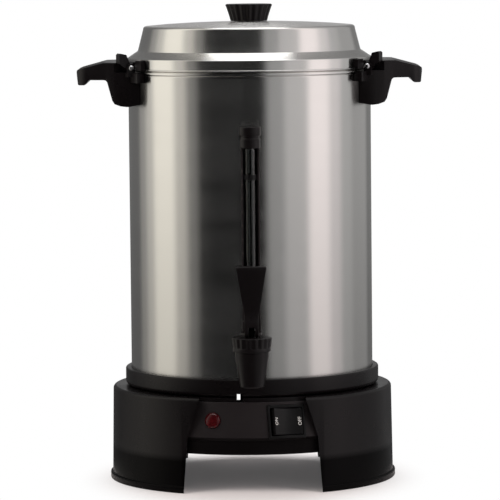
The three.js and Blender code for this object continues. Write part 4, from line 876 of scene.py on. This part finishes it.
tap_outline = [(0, 102.5), (10.7, 102.5), (11.3, 103.1), (15.4, 130.5), (15.6, 132.5)]
tap = spun("tap_moulding", tap_outline + [(15.6, 135), (0, 135)], 96, TAP_LINE)
tower_outline = [(0, 113.6), (8.8, 113.6), (9.4, 114.4), (9.4, 148.2), (8.8, 149), (0, 149)]
tower = spun("tower", tower_outline, 64, GAUGE_LINE)
web = block("web", (0, (TAP_Y + GAUGE_Y) / 2, 124.3), (15, GAUGE_Y - TAP_Y, 21.4))
carved(tower, rod_along_y("flange", 12.6, GAUGE_Y, FLANGE_BACK, SHANK_LEVEL), web, how="UNION")
behind = block("behind", (0, FLANGE_BACK + 9.4, 130), (60, 18.8, 80))
carved(tower, behind, rod("bonnet_room", 18.9, 135.15, 153, TAP_LINE, 96))
carved(tap, tower, rod_along_y("shank", 6.4, GAUGE_Y, -102.6, SHANK_LEVEL), how="UNION")
carved(
    tap,
    rod_along_y("shank_bore", 4.2, TAP_Y, -98, SHANK_LEVEL),
    rod("chamber", 11.6, 116, 139, TAP_LINE),
    rod("spout", 7.6, 98, 120, TAP_LINE),
    rod("riser", 4.2, SHANK_LEVEL, 153, GAUGE_LINE, 48),
    rod("glass_socket", 5.9, 137, 153, GAUGE_LINE, 48),
)
softened(tap, 0.4, 2, 40)
shade(tap, 32)
tap.data.materials.append(BLACK_PHENOLIC)
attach(tap, "urn")
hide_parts("tap_body")

# Gaskets
# Silicone rings and a cup that seal the tap, the sight glass and the knob, and the nylon nut and
# stem of the tap.


def rubbery(name, color, roughness, dust_mm):
    """Silicone rubber: matt, a little cloudy, with a soft sheen."""
    made, tree, place = new_material(name)
    dust = add(
        tree, "ShaderNodeTexNoise", {"Vector": place, "Scale": 1 / (dust_mm * MM), "Detail": 4.0}
    )
    duller = [c * 0.82 for c in srgb(color)[:3]] + [1.0]
    tint = add(
        tree,
        "ShaderNodeMix",
        {"Factor": dust.outputs["Fac"], 6: srgb(color), 7: duller},
        data_type="RGBA",
    )
    bump = add(tree, "ShaderNodeBump", {"Height": dust.outputs["Fac"], "Distance": 0.02 * MM})
    shader = add(
        tree,
        "ShaderNodeBsdfPrincipled",
        {
            "Base Color": tint.outputs[2],
            "Roughness": roughness,
            "IOR": 1.41,
            "Sheen Weight": 0.1,
            "Normal": bump.outputs[0],
        },
    )
    add(tree, "ShaderNodeOutputMaterial", {"Surface": shader.outputs[0]})
    return made


# Silicone rubber, cast: milky and matt.
SILICONE = rubbery("cast_silicone_rubber", "CFC9BD", 0.62, 1.4)
dressed(SILICONE, "tap_gasket", "gauge_seal", "knob_washer", "seat_cup")
dressed(BLACK_NYLON, "tap_nut", "valve_stem")

# Bonnet
# A fluted phenolic cap that screws down over the valve and holds its spring.


def growth_tree(name, **inputs):
    """A node tree that takes a shape and named inputs of the given kinds, and what it is given."""
    tree = bpy.data.node_groups.new(name, "GeometryNodeTree")
    sockets = tree.interface
    sockets.new_socket("Geometry", in_out="INPUT", socket_type="NodeSocketGeometry")
    for title, kind in inputs.items():
        title = title.replace("_", " ")
        sockets.new_socket(title, in_out="INPUT", socket_type=f"NodeSocket{kind}")
    sockets.new_socket("Geometry", in_out="OUTPUT", socket_type="NodeSocketGeometry")
    return tree, add(tree, "NodeGroupInput").outputs


def end_growth(tree, shape, finish):
    """Ends a tree: makes its instances real and gives them their material."""
    real = add(tree, "GeometryNodeRealizeInstances", {"Geometry": shape}).outputs[0]
    made = add(tree, "GeometryNodeSetMaterial", {"Geometry": real, "Material": finish}).outputs[0]
    add(tree, "NodeGroupOutput", {"Geometry": made})
    return tree


def socket_of(tree, name):
    """The identifier of a named input of a node tree, which is how a modifier sets it."""
    inputs = (item for item in tree.interface.items_tree if item.in_out == "INPUT")
    return next(item.identifier for item in inputs if item.name == name)


def grown(piece, tree, **values):
    """Runs a node tree on a piece, with its named inputs set, and keeps the plain mesh it makes."""
    growth = piece.modifiers.new("growth", "NODES")
    growth.node_group = tree
    for name, value in values.items():
        growth[socket_of(tree, name.replace("_", " "))] = value
    return settled(piece)


def flute_tree():
    """Presses flutes into a round piece between two levels, deepest at the middle of each."""
    tree, given = growth_tree(
        "grip_flutes",
        Flutes="Int",
        Depth="Float",
        Axis_Y="Float",
        Low="Float",
        High="Float",
        Core="Float",
        Finish="Material",
    )
    place = add(tree, "GeometryNodeInputPosition").outputs[0]
    axis = add(tree, "ShaderNodeCombineXYZ", {"Y": given["Axis Y"]}).outputs[0]
    arm = add(tree, "ShaderNodeVectorMath", {0: place, 1: axis}, operation="SUBTRACT").outputs[0]
    parts = add(tree, "ShaderNodeSeparateXYZ", {0: arm}).outputs
    flat = add(tree, "ShaderNodeCombineXYZ", {"X": parts["X"], "Y": parts["Y"]}).outputs[0]
    radius = add(tree, "ShaderNodeVectorMath", {0: flat}, operation="LENGTH").outputs["Value"]
    outward = add(tree, "ShaderNodeVectorMath", {0: flat}, operation="NORMALIZE").outputs[0]
    turn = add(tree, "ShaderNodeMath", {0: parts["Y"], 1: parts["X"]}, operation="ARCTAN2")
    phase = add(
        tree, "ShaderNodeMath", {0: turn.outputs[0], 1: given["Flutes"]}, operation="MULTIPLY"
    )
    wave = add(tree, "ShaderNodeMath", {0: phase.outputs[0]}, operation="COSINE").outputs[0]
    dip = add(
        tree,
        "ShaderNodeMapRange",
        {
            "Value": wave,
            "From Min": 1.0,
            "From Max": -1.0,
            "To Min": 0.0,
            "To Max": given["Depth"],
        },
    ).outputs["Result"]
    for test, value, limit in (
        ("GREATER_THAN", parts["Z"], given["Low"]),
        ("LESS_THAN", parts["Z"], given["High"]),
        ("GREATER_THAN", radius, given["Core"]),
    ):
        held = add(tree, "ShaderNodeMath", {0: value, 1: limit}, operation=test).outputs[0]
        dip = add(tree, "ShaderNodeMath", {0: dip, 1: held}, operation="MULTIPLY").outputs[0]
    inward = add(tree, "ShaderNodeVectorMath", {0: outward, "Scale": dip}, operation="SCALE")
    pressed = add(
        tree, "ShaderNodeVectorMath", {0: place, 1: inward.outputs[0]}, operation="SUBTRACT"
    ).outputs[0]
    moved = add(
        tree, "GeometryNodeSetPosition", {"Geometry": given["Geometry"], "Position": pressed}
    ).outputs[0]
    return end_growth(tree, moved, given["Finish"])


FLUTES = flute_tree()
bonnet = spun(
    "bonnet_cap",
    [(8.6, 135.3), (17.0, 135.3), (17.3, 135.6), (17.3, 138.3), (17.0, 138.7), (17.35, 139.1)]
    + [(17.9, 144.5), (18.2, 146.6)]
    + round_off(17.06, 146.7, 1.2, 10, 90, 5)
    + [(2.95, 147.9), (2.95, 144.7), (8.6, 144.7)],
    18 * 12,
    TAP_LINE,
)
grown(
    bonnet,
    FLUTES,
    Flutes=18,
    Depth=0.8 * MM,
    Axis_Y=TAP_LINE * MM,
    Low=138.9 * MM,
    High=147.5 * MM,
    Core=14 * MM,
    Finish=BLACK_PHENOLIC,
)
shade(bonnet, 40)
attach(bonnet, "urn")
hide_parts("bonnet")

# Valve spring
# A wound stainless spring between the bonnet and the seat cup, which shuts the tap.


def spring_tree():
    """A helix of wire from its radius, length, turns and thickness."""
    tree, given = growth_tree(
        "wound_spring",
        Turns="Float",
        Radius="Float",
        Length="Float",
        Wire="Float",
        Foot="Vector",
        Finish="Material",
    )
    helix = add(
        tree,
        "GeometryNodeCurveSpiral",
        {
            "Resolution": 32,
            "Rotations": given["Turns"],
            "Start Radius": given["Radius"],
            "End Radius": given["Radius"],
            "Height": given["Length"],
        },
    ).outputs[0]
    section = add(
        tree, "GeometryNodeCurvePrimitiveCircle", {"Resolution": 10, "Radius": given["Wire"]}
    ).outputs[0]
    wire = add(
        tree,
        "GeometryNodeCurveToMesh",
        {"Curve": helix, "Profile Curve": section, "Fill Caps": True},
    ).outputs[0]
    placed = add(
        tree, "GeometryNodeTransform", {"Geometry": wire, "Translation": given["Foot"]}
    ).outputs[0]
    return end_growth(tree, placed, given["Finish"])


spring = grown(
    finished("return_spring", bpy.data.meshes.new("return_spring")),
    spring_tree(),
    Turns=5.0,
    Radius=6 * MM,
    Length=20.3 * MM,
    Wire=0.7 * MM,
    Foot=(0, TAP_LINE * MM, 123.4 * MM),
    Finish=STAINLESS,
)
spring.data.shade_smooth()
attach(spring, "urn")
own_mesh(spring)
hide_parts("valve_spring")

# Tap lever
# A moulded phenolic paddle on a steel pin: its fork straddles the valve stem, and its round heels
# roll on the bonnet when it is tilted.
half_face = [(5.6, 148.2), (6.2, 150.5), (6.2, 163.4), (6.8, 170.0), (8.6, 180.0)]
half_face += [(13.2, 207.5), (13.75, 211.2), (13.4, 212.1), (12.6, 212.5)]
lever = slab("tap_lever", both_sides(half_face), TAP_Y - 20, TAP_Y + 20, "XZ")
half_side = round_off(6, 152.4, 4.2, -90, 0, 6)
half_side += [(10.0, 157), (8.4, 161), (4.6, 167), (3.7, 171)]
half_side += [(3.9, 190), (4.5, 208), (4.4, 211), (3.4, 212.5)]
lever_side = [(TAP_Y + y, z) for y, z in both_sides(half_side)]
carved(lever, slab("lever_side", lever_side, -20, 20, "YZ"), how="INTERSECT")
carved(lever, block("stem_slot", (0, TAP_Y, 149.4), (6, 50, 16.2)))
softened(lever, 0.8, 3, 36)
shade(lever, 32)
lever.data.materials.append(BLACK_PHENOLIC)
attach(lever, "lever")
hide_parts("lever")
dressed(STAINLESS, "lever_pin")

# Sight gauge
# A glass tube that shows the level of the coffee, in a phenolic channel that guards it, with a
# cap above, a marker ring, and a scale of plain ticks beside it.


def clear_glass(name, color, smear_mm):
    """Borosilicate tube: clear, with fine smears that catch a light along it."""
    made, tree, place = new_material(name)
    drawn = add(tree, "ShaderNodeMapping", {"Vector": place, "Scale": (1, 1, 0.05)}).outputs[0]
    smear = add(
        tree, "ShaderNodeTexNoise", {"Vector": drawn, "Scale": 1 / (smear_mm * MM), "Detail": 2.0}
    )
    rough = add(
        tree,
        "ShaderNodeMapRange",
        {
            "Value": smear.outputs["Fac"],
            "From Min": 0.4,
            "From Max": 0.8,
            "To Min": 0.02,
            "To Max": 0.05,
        },
    )
    shader = add(
        tree,
        "ShaderNodeBsdfPrincipled",
        {
            "Base Color": srgb(color),
            "Roughness": rough.outputs["Result"],
            "IOR": 1.47,
            "Transmission Weight": 1.0,
        },
    )
    add(tree, "ShaderNodeOutputMaterial", {"Surface": shader.outputs[0]})
    return made


# Borosilicate glass, drawn: clear, with faint lines along the tube.
DRAWN_GLASS = clear_glass("drawn_borosilicate_glass", "F2F5F4", 1.5)
GLASS_RADIUS = 5.6
GLASS_BORE = 4.2
glass = ring("sight_glass", GLASS_RADIUS, GLASS_BORE, 140, 330, 64, GAUGE_LINE)
shade(glass, 40)
glass.data.materials.append(DRAWN_GLASS)
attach(glass, "urn")
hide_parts("gauge_glass")

GUARD_HALF = 8.4
GUARD_WALL = 1.6
guard_front, guard_back = GAUGE_Y - 3.6, GAUGE_Y + 9.9
channel_half, channel_back = GUARD_HALF - GUARD_WALL, guard_back - GUARD_WALL
guard_right = [(channel_half, channel_back), (channel_half, guard_front)]
guard_right += [(GUARD_HALF, guard_front), (GUARD_HALF, guard_back)]
guard = slab("gauge_channel", both_sides(guard_right), 149.3, 317.7)
softened(guard, 0.4, 2, 40)
shade(guard, 32)
# Its lighter phenolic is painted light on the walls of the channel.
guard.data.materials.append(LIT_PANEL_PHENOLIC)
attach(guard, "urn")
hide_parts("gauge_guard")

cap = spun(
    "gauge_top",
    [(5.9, 318), (8.7, 318), (9.3, 318.6), (9.3, 326.4), (8.6, 327.4), (8.6, 328.6)]
    + [(9.5, 329.6), (9.9, 330.4), (9.9, 336.2)]
    + round_off(8.1, 336.4, 1.8, 5, 88, 5)
    + [(1, 338.2), (0.9, 338.1), (0.9, 330.3), (5.9, 330.3)],
    72,
    GAUGE_LINE,
)
carved(cap, block("cap_back", (0, 4.95 - SEAT_RADIUS, 328), (40, 9.9, 60)))
softened(cap, 0.3, 2, 45)
shade(cap, 34)
cap.data.materials.append(BLACK_PHENOLIC)
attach(cap, "urn")
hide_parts("gauge_cap")
dressed(BLACK_NYLON, "gauge_marker")

# Pad-printed ink that steam and wiping have thinned: grey, with the black showing through.
THIN_INK = printed("thinned_pad_print", "77746F", 0.6, 1.2)


def tick_tree():
    """A ladder of short bars up a line."""
    tree, given = growth_tree(
        "level_ticks",
        Count="Int",
        Pitch="Float",
        Start="Vector",
        Length="Float",
        Thickness="Float",
        Finish="Material",
    )
    step = add(tree, "ShaderNodeCombineXYZ", {"Z": given["Pitch"]}).outputs[0]
    line = add(
        tree,
        "GeometryNodeMeshLine",
        {"Count": given["Count"], "Start Location": given["Start"], "Offset": step},
    ).outputs[0]
    points = add(tree, "GeometryNodeMeshToPoints", {"Mesh": line}).outputs[0]
    size = add(
        tree,
        "ShaderNodeCombineXYZ",
        {"X": given["Length"], "Y": given["Thickness"], "Z": given["Thickness"]},
    ).outputs[0]
    bar = add(tree, "GeometryNodeMeshCube", {"Size": size}).outputs[0]
    bars = add(
        tree, "GeometryNodeInstanceOnPoints", {"Points": points, "Instance": bar}
    ).outputs[0]
    return end_growth(tree, bars, given["Finish"])


ticks = grown(
    finished("level_ticks", bpy.data.meshes.new("level_ticks")),
    tick_tree(),
    Count=12,
    Pitch=12.5 * MM,
    Start=(-7.6 * MM, (GAUGE_LINE - 3.62) * MM, 160 * MM),
    Length=1.3 * MM,
    Thickness=0.5 * MM,
    Finish=THIN_INK,
)
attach(ticks, "urn")

# Pump
# A spun aluminium tube on a bell foot: water boils under the bell and is thrown up the tube.


def plain_aluminium(name, color, roughness, cloud_mm):
    """Aluminium as it comes from the spinning lathe: satin, greyed by water and coffee."""
    made, tree, place = new_material(name)
    line_mm, line_depth = 0.8, 0.02
    cloud = add(
        tree, "ShaderNodeTexNoise", {"Vector": place, "Scale": 1 / (cloud_mm * MM), "Detail": 5.0}
    )
    duller = [c * 0.78 for c in srgb(color)[:3]] + [1.0]
    tint = add(
        tree,
        "ShaderNodeMix",
        {"Factor": cloud.outputs["Fac"], 6: srgb(color), 7: duller},
        data_type="RGBA",
    )
    line_scale = (20, 20, 1 / (line_mm * MM))
    drawn = add(tree, "ShaderNodeMapping", {"Vector": place, "Scale": line_scale}).outputs[0]
    turned = add(tree, "ShaderNodeTexNoise", {"Vector": drawn, "Scale": 1.0, "Detail": 2.0})
    bump = add(
        tree, "ShaderNodeBump", {"Height": turned.outputs["Fac"], "Distance": line_depth * MM}
    )
    shader = add(
        tree,
        "ShaderNodeBsdfPrincipled",
        {
            "Base Color": tint.outputs[2],
            "Metallic": 1.0,
            "Roughness": roughness,
            "Normal": bump.outputs[0],
        },
    )
    add(tree, "ShaderNodeOutputMaterial", {"Surface": shader.outputs[0]})
    return made


# Spun aluminium without a polish: grey and satin, with turning lines and water marks.
SPUN_ALUMINIUM = plain_aluminium("spun_aluminium", "B9B8B6", 0.42, 22.0)
pump = spun(
    "pump_stem",
    [(21.8, 85.5), (22.6, 85.5), (23, 85.9), (23, 87.75), (16, 91), (9.5, 93.8), (6.5, 95.8)]
    + [(5, 97.5), (5, 262.9), (8.4, 264.4), (9, 265), (9, 267.3), (8.6, 267.7), (5, 267.7)]
    + [(5, 385.6), (4.6, 386), (3.9, 386), (3.9, 96.3), (6.8, 93.3), (14.5, 90.4), (21.8, 87.2)],
    96,
)
shade(pump, 30)
pump.data.materials.append(SPUN_ALUMINIUM)
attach(pump, "pump")
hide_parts("pump_tube")

# Basket and spreader
# A spun aluminium basket for the ground coffee and a shallow dish over it, both with rings of
# small holes punched through their floors.


def punch_tree():
    """Punches a ring of round holes through a sheet."""
    tree, given = growth_tree(
        "punched_rings",
        Holes="Int",
        Ring="Float",
        Hole="Float",
        Center="Vector",
        Finish="Material",
    )
    circle = add(
        tree, "GeometryNodeMeshCircle", {"Vertices": given["Holes"], "Radius": given["Ring"]}
    ).outputs[0]
    placed = add(
        tree, "GeometryNodeTransform", {"Geometry": circle, "Translation": given["Center"]}
    ).outputs[0]
    points = add(tree, "GeometryNodeMeshToPoints", {"Mesh": placed}).outputs[0]
    punch = add(
        tree,
        "GeometryNodeMeshCylinder",
        {"Vertices": 12, "Radius": given["Hole"], "Depth": 6 * MM},
    ).outputs[0]
    punches = add(
        tree, "GeometryNodeInstanceOnPoints", {"Points": points, "Instance": punch}
    ).outputs[0]
    tools = add(tree, "GeometryNodeRealizeInstances", {"Geometry": punches}).outputs[0]
    sheet = add(
        tree,
        "GeometryNodeMeshBoolean",
        {"Mesh 1": given["Geometry"], "Mesh 2": tools},
        operation="DIFFERENCE",
    ).outputs[0]
    return end_growth(tree, sheet, given["Finish"])


PUNCHES = punch_tree()


def punched(piece, rings, hole, level):
    """Punches rings of holes through a floor, from pairs of a radius and a number of holes."""
    for radius, holes in rings:
        grown(
            piece,
            PUNCHES,
            Holes=holes,
            Ring=radius * MM,
            Hole=hole * MM,
            Center=(0, AXIS_Y * MM, level * MM),
            Finish=SPUN_ALUMINIUM,
        )


basket = spun(
    "coffee_basket",
    [(6, 268), (85.6, 268), (87.2, 268.8), (88, 270.4), (88, 366.8), (90.0, 366.8)]
    + [(90.4, 367.2), (90.4, 367.7), (90, 368), (87, 368), (87, 270.8), (86.2, 269.4)]
    + [(85, 269), (7, 269), (7, 369), (6, 369)],
    128,
)
punched(basket, [(16 + 8 * i, 12 + 6 * i) for i in range(9)], 1.2, 268.5)
shade(basket, 30)
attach(basket, "basket")
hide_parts("basket")

spreader = spun(
    "water_spreader",
    [(7.6, 365.3), (86.4, 365.3), (86.4, 368.3), (90.4, 368.3), (90.4, 369.3), (85.4, 369.3)]
    + [(85.4, 366.3), (7.6, 366.3)],
    128,
)
punched(spreader, [(20 + 12 * i, 8 + 6 * i) for i in range(6)], 1.5, 365.8)
shade(spreader, 30)
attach(spreader, "spreader")
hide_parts("spreader")

# Lid
# Spun from one sheet of aluminium and buffed: a drum on a coved skirt, with a rolled bead that
# the latches hook over and a plug ring that drops into the mouth of the tank.
lid = spun(
    "lid_shell",
    [(111, 380.4), (112.2, 380.4), (112.2, 386.7), (115.0, 386.7)]
    + round_off(114.9, 387.5, 0.8, -70, 80, 6)
    + [(115.0, 388.6), (115.0, 396.6)]
    + round_off(114.2, 396.8, 0.8, 5, 55, 4)
    + [(113.4, 398.2), (109.5, 400.9), (106.2, 403.0), (105.0, 403.9), (104.7, 404.8)]
    + [(99.9, 423.6)]
    + round_off(96.8, 423.9, 3.1, 0, 78, 8)
    + [(80, 428.4), (60.6, 429.5), (40, 430.3), (15.2, 430.6), (2.7, 430.6)]
    + [(2.7, 429.4), (15.2, 429.4), (40, 429.1), (60.6, 428.3), (80, 427.2)]
    + round_off(96.8, 423.9, 1.9, 78, 0, 6)
    + [(103.5, 404.6), (104.2, 402.8), (108.6, 399.8), (112.4, 397.2), (113.8, 395.8)]
    + [(113.8, 389.4), (112.9, 387.9), (111.0, 387.9)],
    256,
)
shade(lid, 34)
lid.data.materials.append(TANK_ALUMINIUM)
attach(lid, "lid")
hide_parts("lid")

# Lid ears
# Two small phenolic lugs pressed on the skirt of the lid, beside the latches.
dressed(BLACK_PHENOLIC, "lid_ear_right", "lid_ear_left")

# Knob
# A fluted phenolic knob that widens upwards, on a silicone washer, held by a screw from inside.
knob = spun(
    "lid_knob",
    [(14.3, 432.6), (14.3, 431.2), (16.9, 431.2), (17.4, 431.7), (18.2, 435.0), (19.8, 440.0)]
    + [(21.2, 444.2)]
    + round_off(20.6, 445.8, 1.3, -20, 90, 6)
    + [(18.6, 447.0), (14, 446.0), (7, 445.4), (0, 445.2)],
    20 * 12,
)
grown(
    knob,
    FLUTES,
    Flutes=20,
    Depth=1.0 * MM,
    Axis_Y=AXIS_Y * MM,
    Low=431.6 * MM,
    High=446.6 * MM,
    Core=15.5 * MM,
    Finish=BLACK_PHENOLIC,
)
shade(knob, 40)
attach(knob, "lid")
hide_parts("knob")
dressed(STAINLESS, "knob_screw")

# Studio
# A pale table in a room of large soft panels: one on the left, a wider one on the right, and a
# dark gap between them behind the camera, which buffed metal shows as bands.
WHITE = (1.0, 1.0, 1.0, 1.0)


def seen_directly(tree):
    """One for what the camera, a mirror or a glass sees, and nothing for light on a surface."""
    rays = add(tree, "ShaderNodeLightPath").outputs
    seen = rays["Is Camera Ray"]
    for kind in ("Is Glossy Ray", "Is Transmission Ray"):
        seen = add(tree, "ShaderNodeMath", {0: seen, 1: rays[kind]}, operation="MAXIMUM").outputs[0]
    return seen


def unseen(piece):
    """A piece that lights only mirrors: the camera, matt surfaces and shadows pass it by."""
    piece.visible_camera = False
    piece.visible_diffuse = False
    piece.visible_shadow = False


world = bpy.data.worlds.new("studio_air")
bpy.context.scene.world = world
world.use_nodes = True
air = world.node_tree
air.nodes.clear()
backdrop = add(air, "ShaderNodeBackground", {"Color": WHITE, "Strength": 1.0})
fill = add(air, "ShaderNodeBackground", {"Color": WHITE, "Strength": 0.45})
mixed = add(
    air,
    "ShaderNodeMixShader",
    {0: seen_directly(air), 1: fill.outputs[0], 2: backdrop.outputs[0]},
)
add(air, "ShaderNodeOutputWorld", {"Surface": mixed.outputs[0]})

# Matt card: a warm white that glows faintly under the urn, and fades to plain white beside it.
FADE_NEAR = 0.12
FADE_FAR = 0.23
table_made, table_tree, spot = new_material("pale_matt_table")
cloudy = add(table_tree, "ShaderNodeTexNoise", {"Vector": spot, "Scale": 6.0, "Detail": 2.0})
tone = add(
    table_tree,
    "ShaderNodeMix",
    {"Factor": cloudy.outputs["Fac"], 6: srgb("F3EBEA"), 7: srgb("EFE6E5")},
    data_type="RGBA",
).outputs[2]
card = add(
    table_tree,
    "ShaderNodeBsdfPrincipled",
    {"Base Color": tone, "Roughness": 0.6, "Specular IOR Level": 0.0},
)
glow = add(table_tree, "ShaderNodeEmission", {"Color": WHITE, "Strength": 1.0})
flat = add(table_tree, "ShaderNodeMapping", {"Vector": spot, "Scale": (1.35, 1, 0)}).outputs[0]
far = add(table_tree, "ShaderNodeVectorMath", {0: flat}, operation="LENGTH").outputs["Value"]
fade = add(
    table_tree,
    "ShaderNodeMapRange",
    {"Value": far, "From Min": FADE_NEAR, "From Max": FADE_FAR, "To Min": 0.06, "To Max": 1.0},
    interpolation_type="SMOOTHSTEP",
).outputs["Result"]
seen = add(table_tree, "ShaderNodeLightPath").outputs["Is Camera Ray"]
blend = add(table_tree, "ShaderNodeMath", {0: fade, 1: seen}, operation="MULTIPLY").outputs[0]
surface = add(
    table_tree, "ShaderNodeMixShader", {0: blend, 1: card.outputs[0], 2: glow.outputs[0]}
)
add(table_tree, "ShaderNodeOutputMaterial", {"Surface": surface.outputs[0]})
table = spun("studio_table", [(0, -6), (6000, -6), (6000, -0.05), (0, -0.05)], 64)
table.data.materials.append(table_made)


def panel_light(name, walls, profile):
    """A glowing sheet bent round the urn, with points of radius and height for its profile. Each
    wall has two angles in degrees from the camera, a strength and a colour, and blends into the
    next. Only mirror-like surfaces show the sheet, and it is dimmer near the table."""
    soft, dim_height, dim_share = 3, 0.3, 0.6
    knots = []
    for start, end, strength, color in walls:
        glow = [c * strength for c in srgb(color)[:3]]
        knots += [(start + soft, glow), (end - soft, glow)]
    first, last = walls[0][0], walls[-1][1]
    count = len(profile)
    points, glows = [], []
    for turn in range(first, last + 1):
        angle = math.radians(turn)
        points += [(r * math.sin(angle), AXIS_Y - r * math.cos(angle), z) for r, z in profile]
        before = [k for k in knots if k[0] <= turn][-1:] or knots[:1]
        after = [k for k in knots if k[0] > turn][:1] or knots[-1:]
        (a, low_glow), (b, high_glow) = before[0], after[0]
        share = (turn - a) / (b - a) if b > a else 0
        glows += [[p + (q - p) * share for p, q in zip(low_glow, high_glow)]] * count
    corners = [i for i in range(count * (last - first)) if i % count < count - 1]
    faces = [(i, i + count, i + count + 1, i + 1) for i in corners]
    made = finished(name, mesh_of(name, points, faces))
    paint = made.data.color_attributes.new("glow", "FLOAT_COLOR", "POINT")
    for place, glow in zip(paint.data, glows):
        place.color = (*glow, 1.0)
    surface, tree, spot = new_material(name)
    color = add(tree, "ShaderNodeAttribute", attribute_name="glow").outputs["Color"]
    level = add(tree, "ShaderNodeSeparateXYZ", {0: spot}).outputs["Z"]
    fall = add(
        tree,
        "ShaderNodeMapRange",
        {
            "Value": level,
            "From Min": 0.0,
            "From Max": dim_height,
            "To Min": dim_share,
            "To Max": 1.0,
        },
    ).outputs["Result"]
    shine = add(tree, "ShaderNodeEmission", {"Color": color, "Strength": fall})
    add(tree, "ShaderNodeOutputMaterial", {"Surface": shine.outputs[0]})
    made.data.materials.append(surface)
    unseen(made)


# What the metal shows: a dim room behind the urn, a soft light on each side and a dark room
# behind the camera, each with a mat on the table. At the back stand a white mat and a low white
# wall, with a dusky wall just in front of it that hides it and goes on above it.
MAT_RADIUS = 165
WALL_RADIUS = 620
WALL_HIGH = 1850
panel_light(
    "studio_room",
    [
        (-163, -120, 0.15, "FFFFFF"),
        (-120, -108, 0.35, "FFFDF8"),
        (-108, -96, 0.62, "FFFCF4"),
        (-96, -70, 1.05, "FFFBF0"),
        (-70, -57, 0.58, "FFFBF2"),
        (-57, -46, 0.2, "FFFDF8"),
        (-46, -34, 0.012, "FFFFFF"),
        (-34, 14, 0.0, "FFFFFF"),
        (14, 30, 0.33, "FFFFFF"),
        (30, 52, 0.55, "FFFDFD"),
        (52, 74, 1.1, "FFF7F7"),
        (74, 88, 0.75, "FFF9FA"),
        (88, 104, 0.48, "FFFFFF"),
        (104, 135, 0.38, "FFFFFF"),
        (135, 163, 0.2, "FFFFFF"),
    ],
    [(MAT_RADIUS, 1), (WALL_RADIUS, 1), (WALL_RADIUS, WALL_HIGH)],
)
panel_light(
    "studio_backdrop",
    [(163, 197, 1.0, "FFFFFF")],
    [(MAT_RADIUS, 1), (WALL_RADIUS, 1), (WALL_RADIUS, 500)],
)
panel_light(
    "studio_rear_dusk",
    [(163, 197, 0.42, "FFFFFF")],
    [(WALL_RADIUS - 1, 1), (WALL_RADIUS, 501), (WALL_RADIUS, 1100)],
)
CEILING = 1900
ceiling = spun(
    "studio_ceiling",
    [(0, CEILING), (CEILING, CEILING), (CEILING, CEILING + 1), (0, CEILING + 1)],
    48,
    AXIS_Y + 500,
)
ceiling_made, ceiling_tree, spot = new_material("studio_ceiling")
overhead = add(ceiling_tree, "ShaderNodeEmission", {"Color": WHITE, "Strength": 2.4})
add(ceiling_tree, "ShaderNodeOutputMaterial", {"Surface": overhead.outputs[0]})
ceiling.data.materials.append(ceiling_made)
unseen(ceiling)


def lamp(name, place, aim, size, power, color):
    """A soft square lamp in metres and watts, turned towards a point."""
    light = bpy.data.lights.new(name, "AREA")
    light.shape = "SQUARE"
    light.size = size
    light.energy = power
    light.color = srgb(color)[:3]
    made = bpy.data.objects.new(name, light)
    bpy.context.scene.collection.objects.link(made)
    made.location = place
    made.rotation_euler = (Vector(aim) - Vector(place)).to_track_quat("-Z", "Y").to_euler()
    made.visible_glossy = False


lamp("key_left", (-1.6, -1.0, 1.7), (0, 0, 0.2), 1.2, 22, "FFFBF4")
lamp("key_right", (1.7, -1.1, 1.5), (0, 0, 0.2), 1.4, 24, "FFF9F7")
lamp("top_back", (0, 0.9, 2.2), (0, 0, 0.3), 1.6, 26, "FFFFFF")

# Camera
# The viewpoint of the photograph: far away and a little above the lid, with a long lens.
CAMERA_AWAY = 3.4
CAMERA_HEIGHT = 0.506
CAMERA_DOWN = 4.905
CAMERA_TURN = 0.016
CAMERA_ROLL = -0.54
CAMERA_SENSOR = 36
CAMERA_LENS = 259.2
camera = bpy.data.objects.new("camera", bpy.data.cameras.new("camera"))
bpy.context.scene.collection.objects.link(camera)
camera.data.sensor_width = CAMERA_SENSOR
camera.data.lens = CAMERA_LENS
camera.data.clip_start = 0.05
camera.data.clip_end = 50
camera.location = (0, AXIS_Y * MM - CAMERA_AWAY, CAMERA_HEIGHT)
turn = Matrix.Rotation(math.radians(CAMERA_TURN), 4, "Z")
tilt = Matrix.Rotation(math.radians(90 - CAMERA_DOWN), 4, "X")
roll = Matrix.Rotation(math.radians(CAMERA_ROLL), 4, "Z")
camera.matrix_world = Matrix.Translation(camera.location) @ turn @ tilt @ roll
bpy.context.scene.camera = camera
bpy.context.scene.view_settings.view_transform = "Standard"
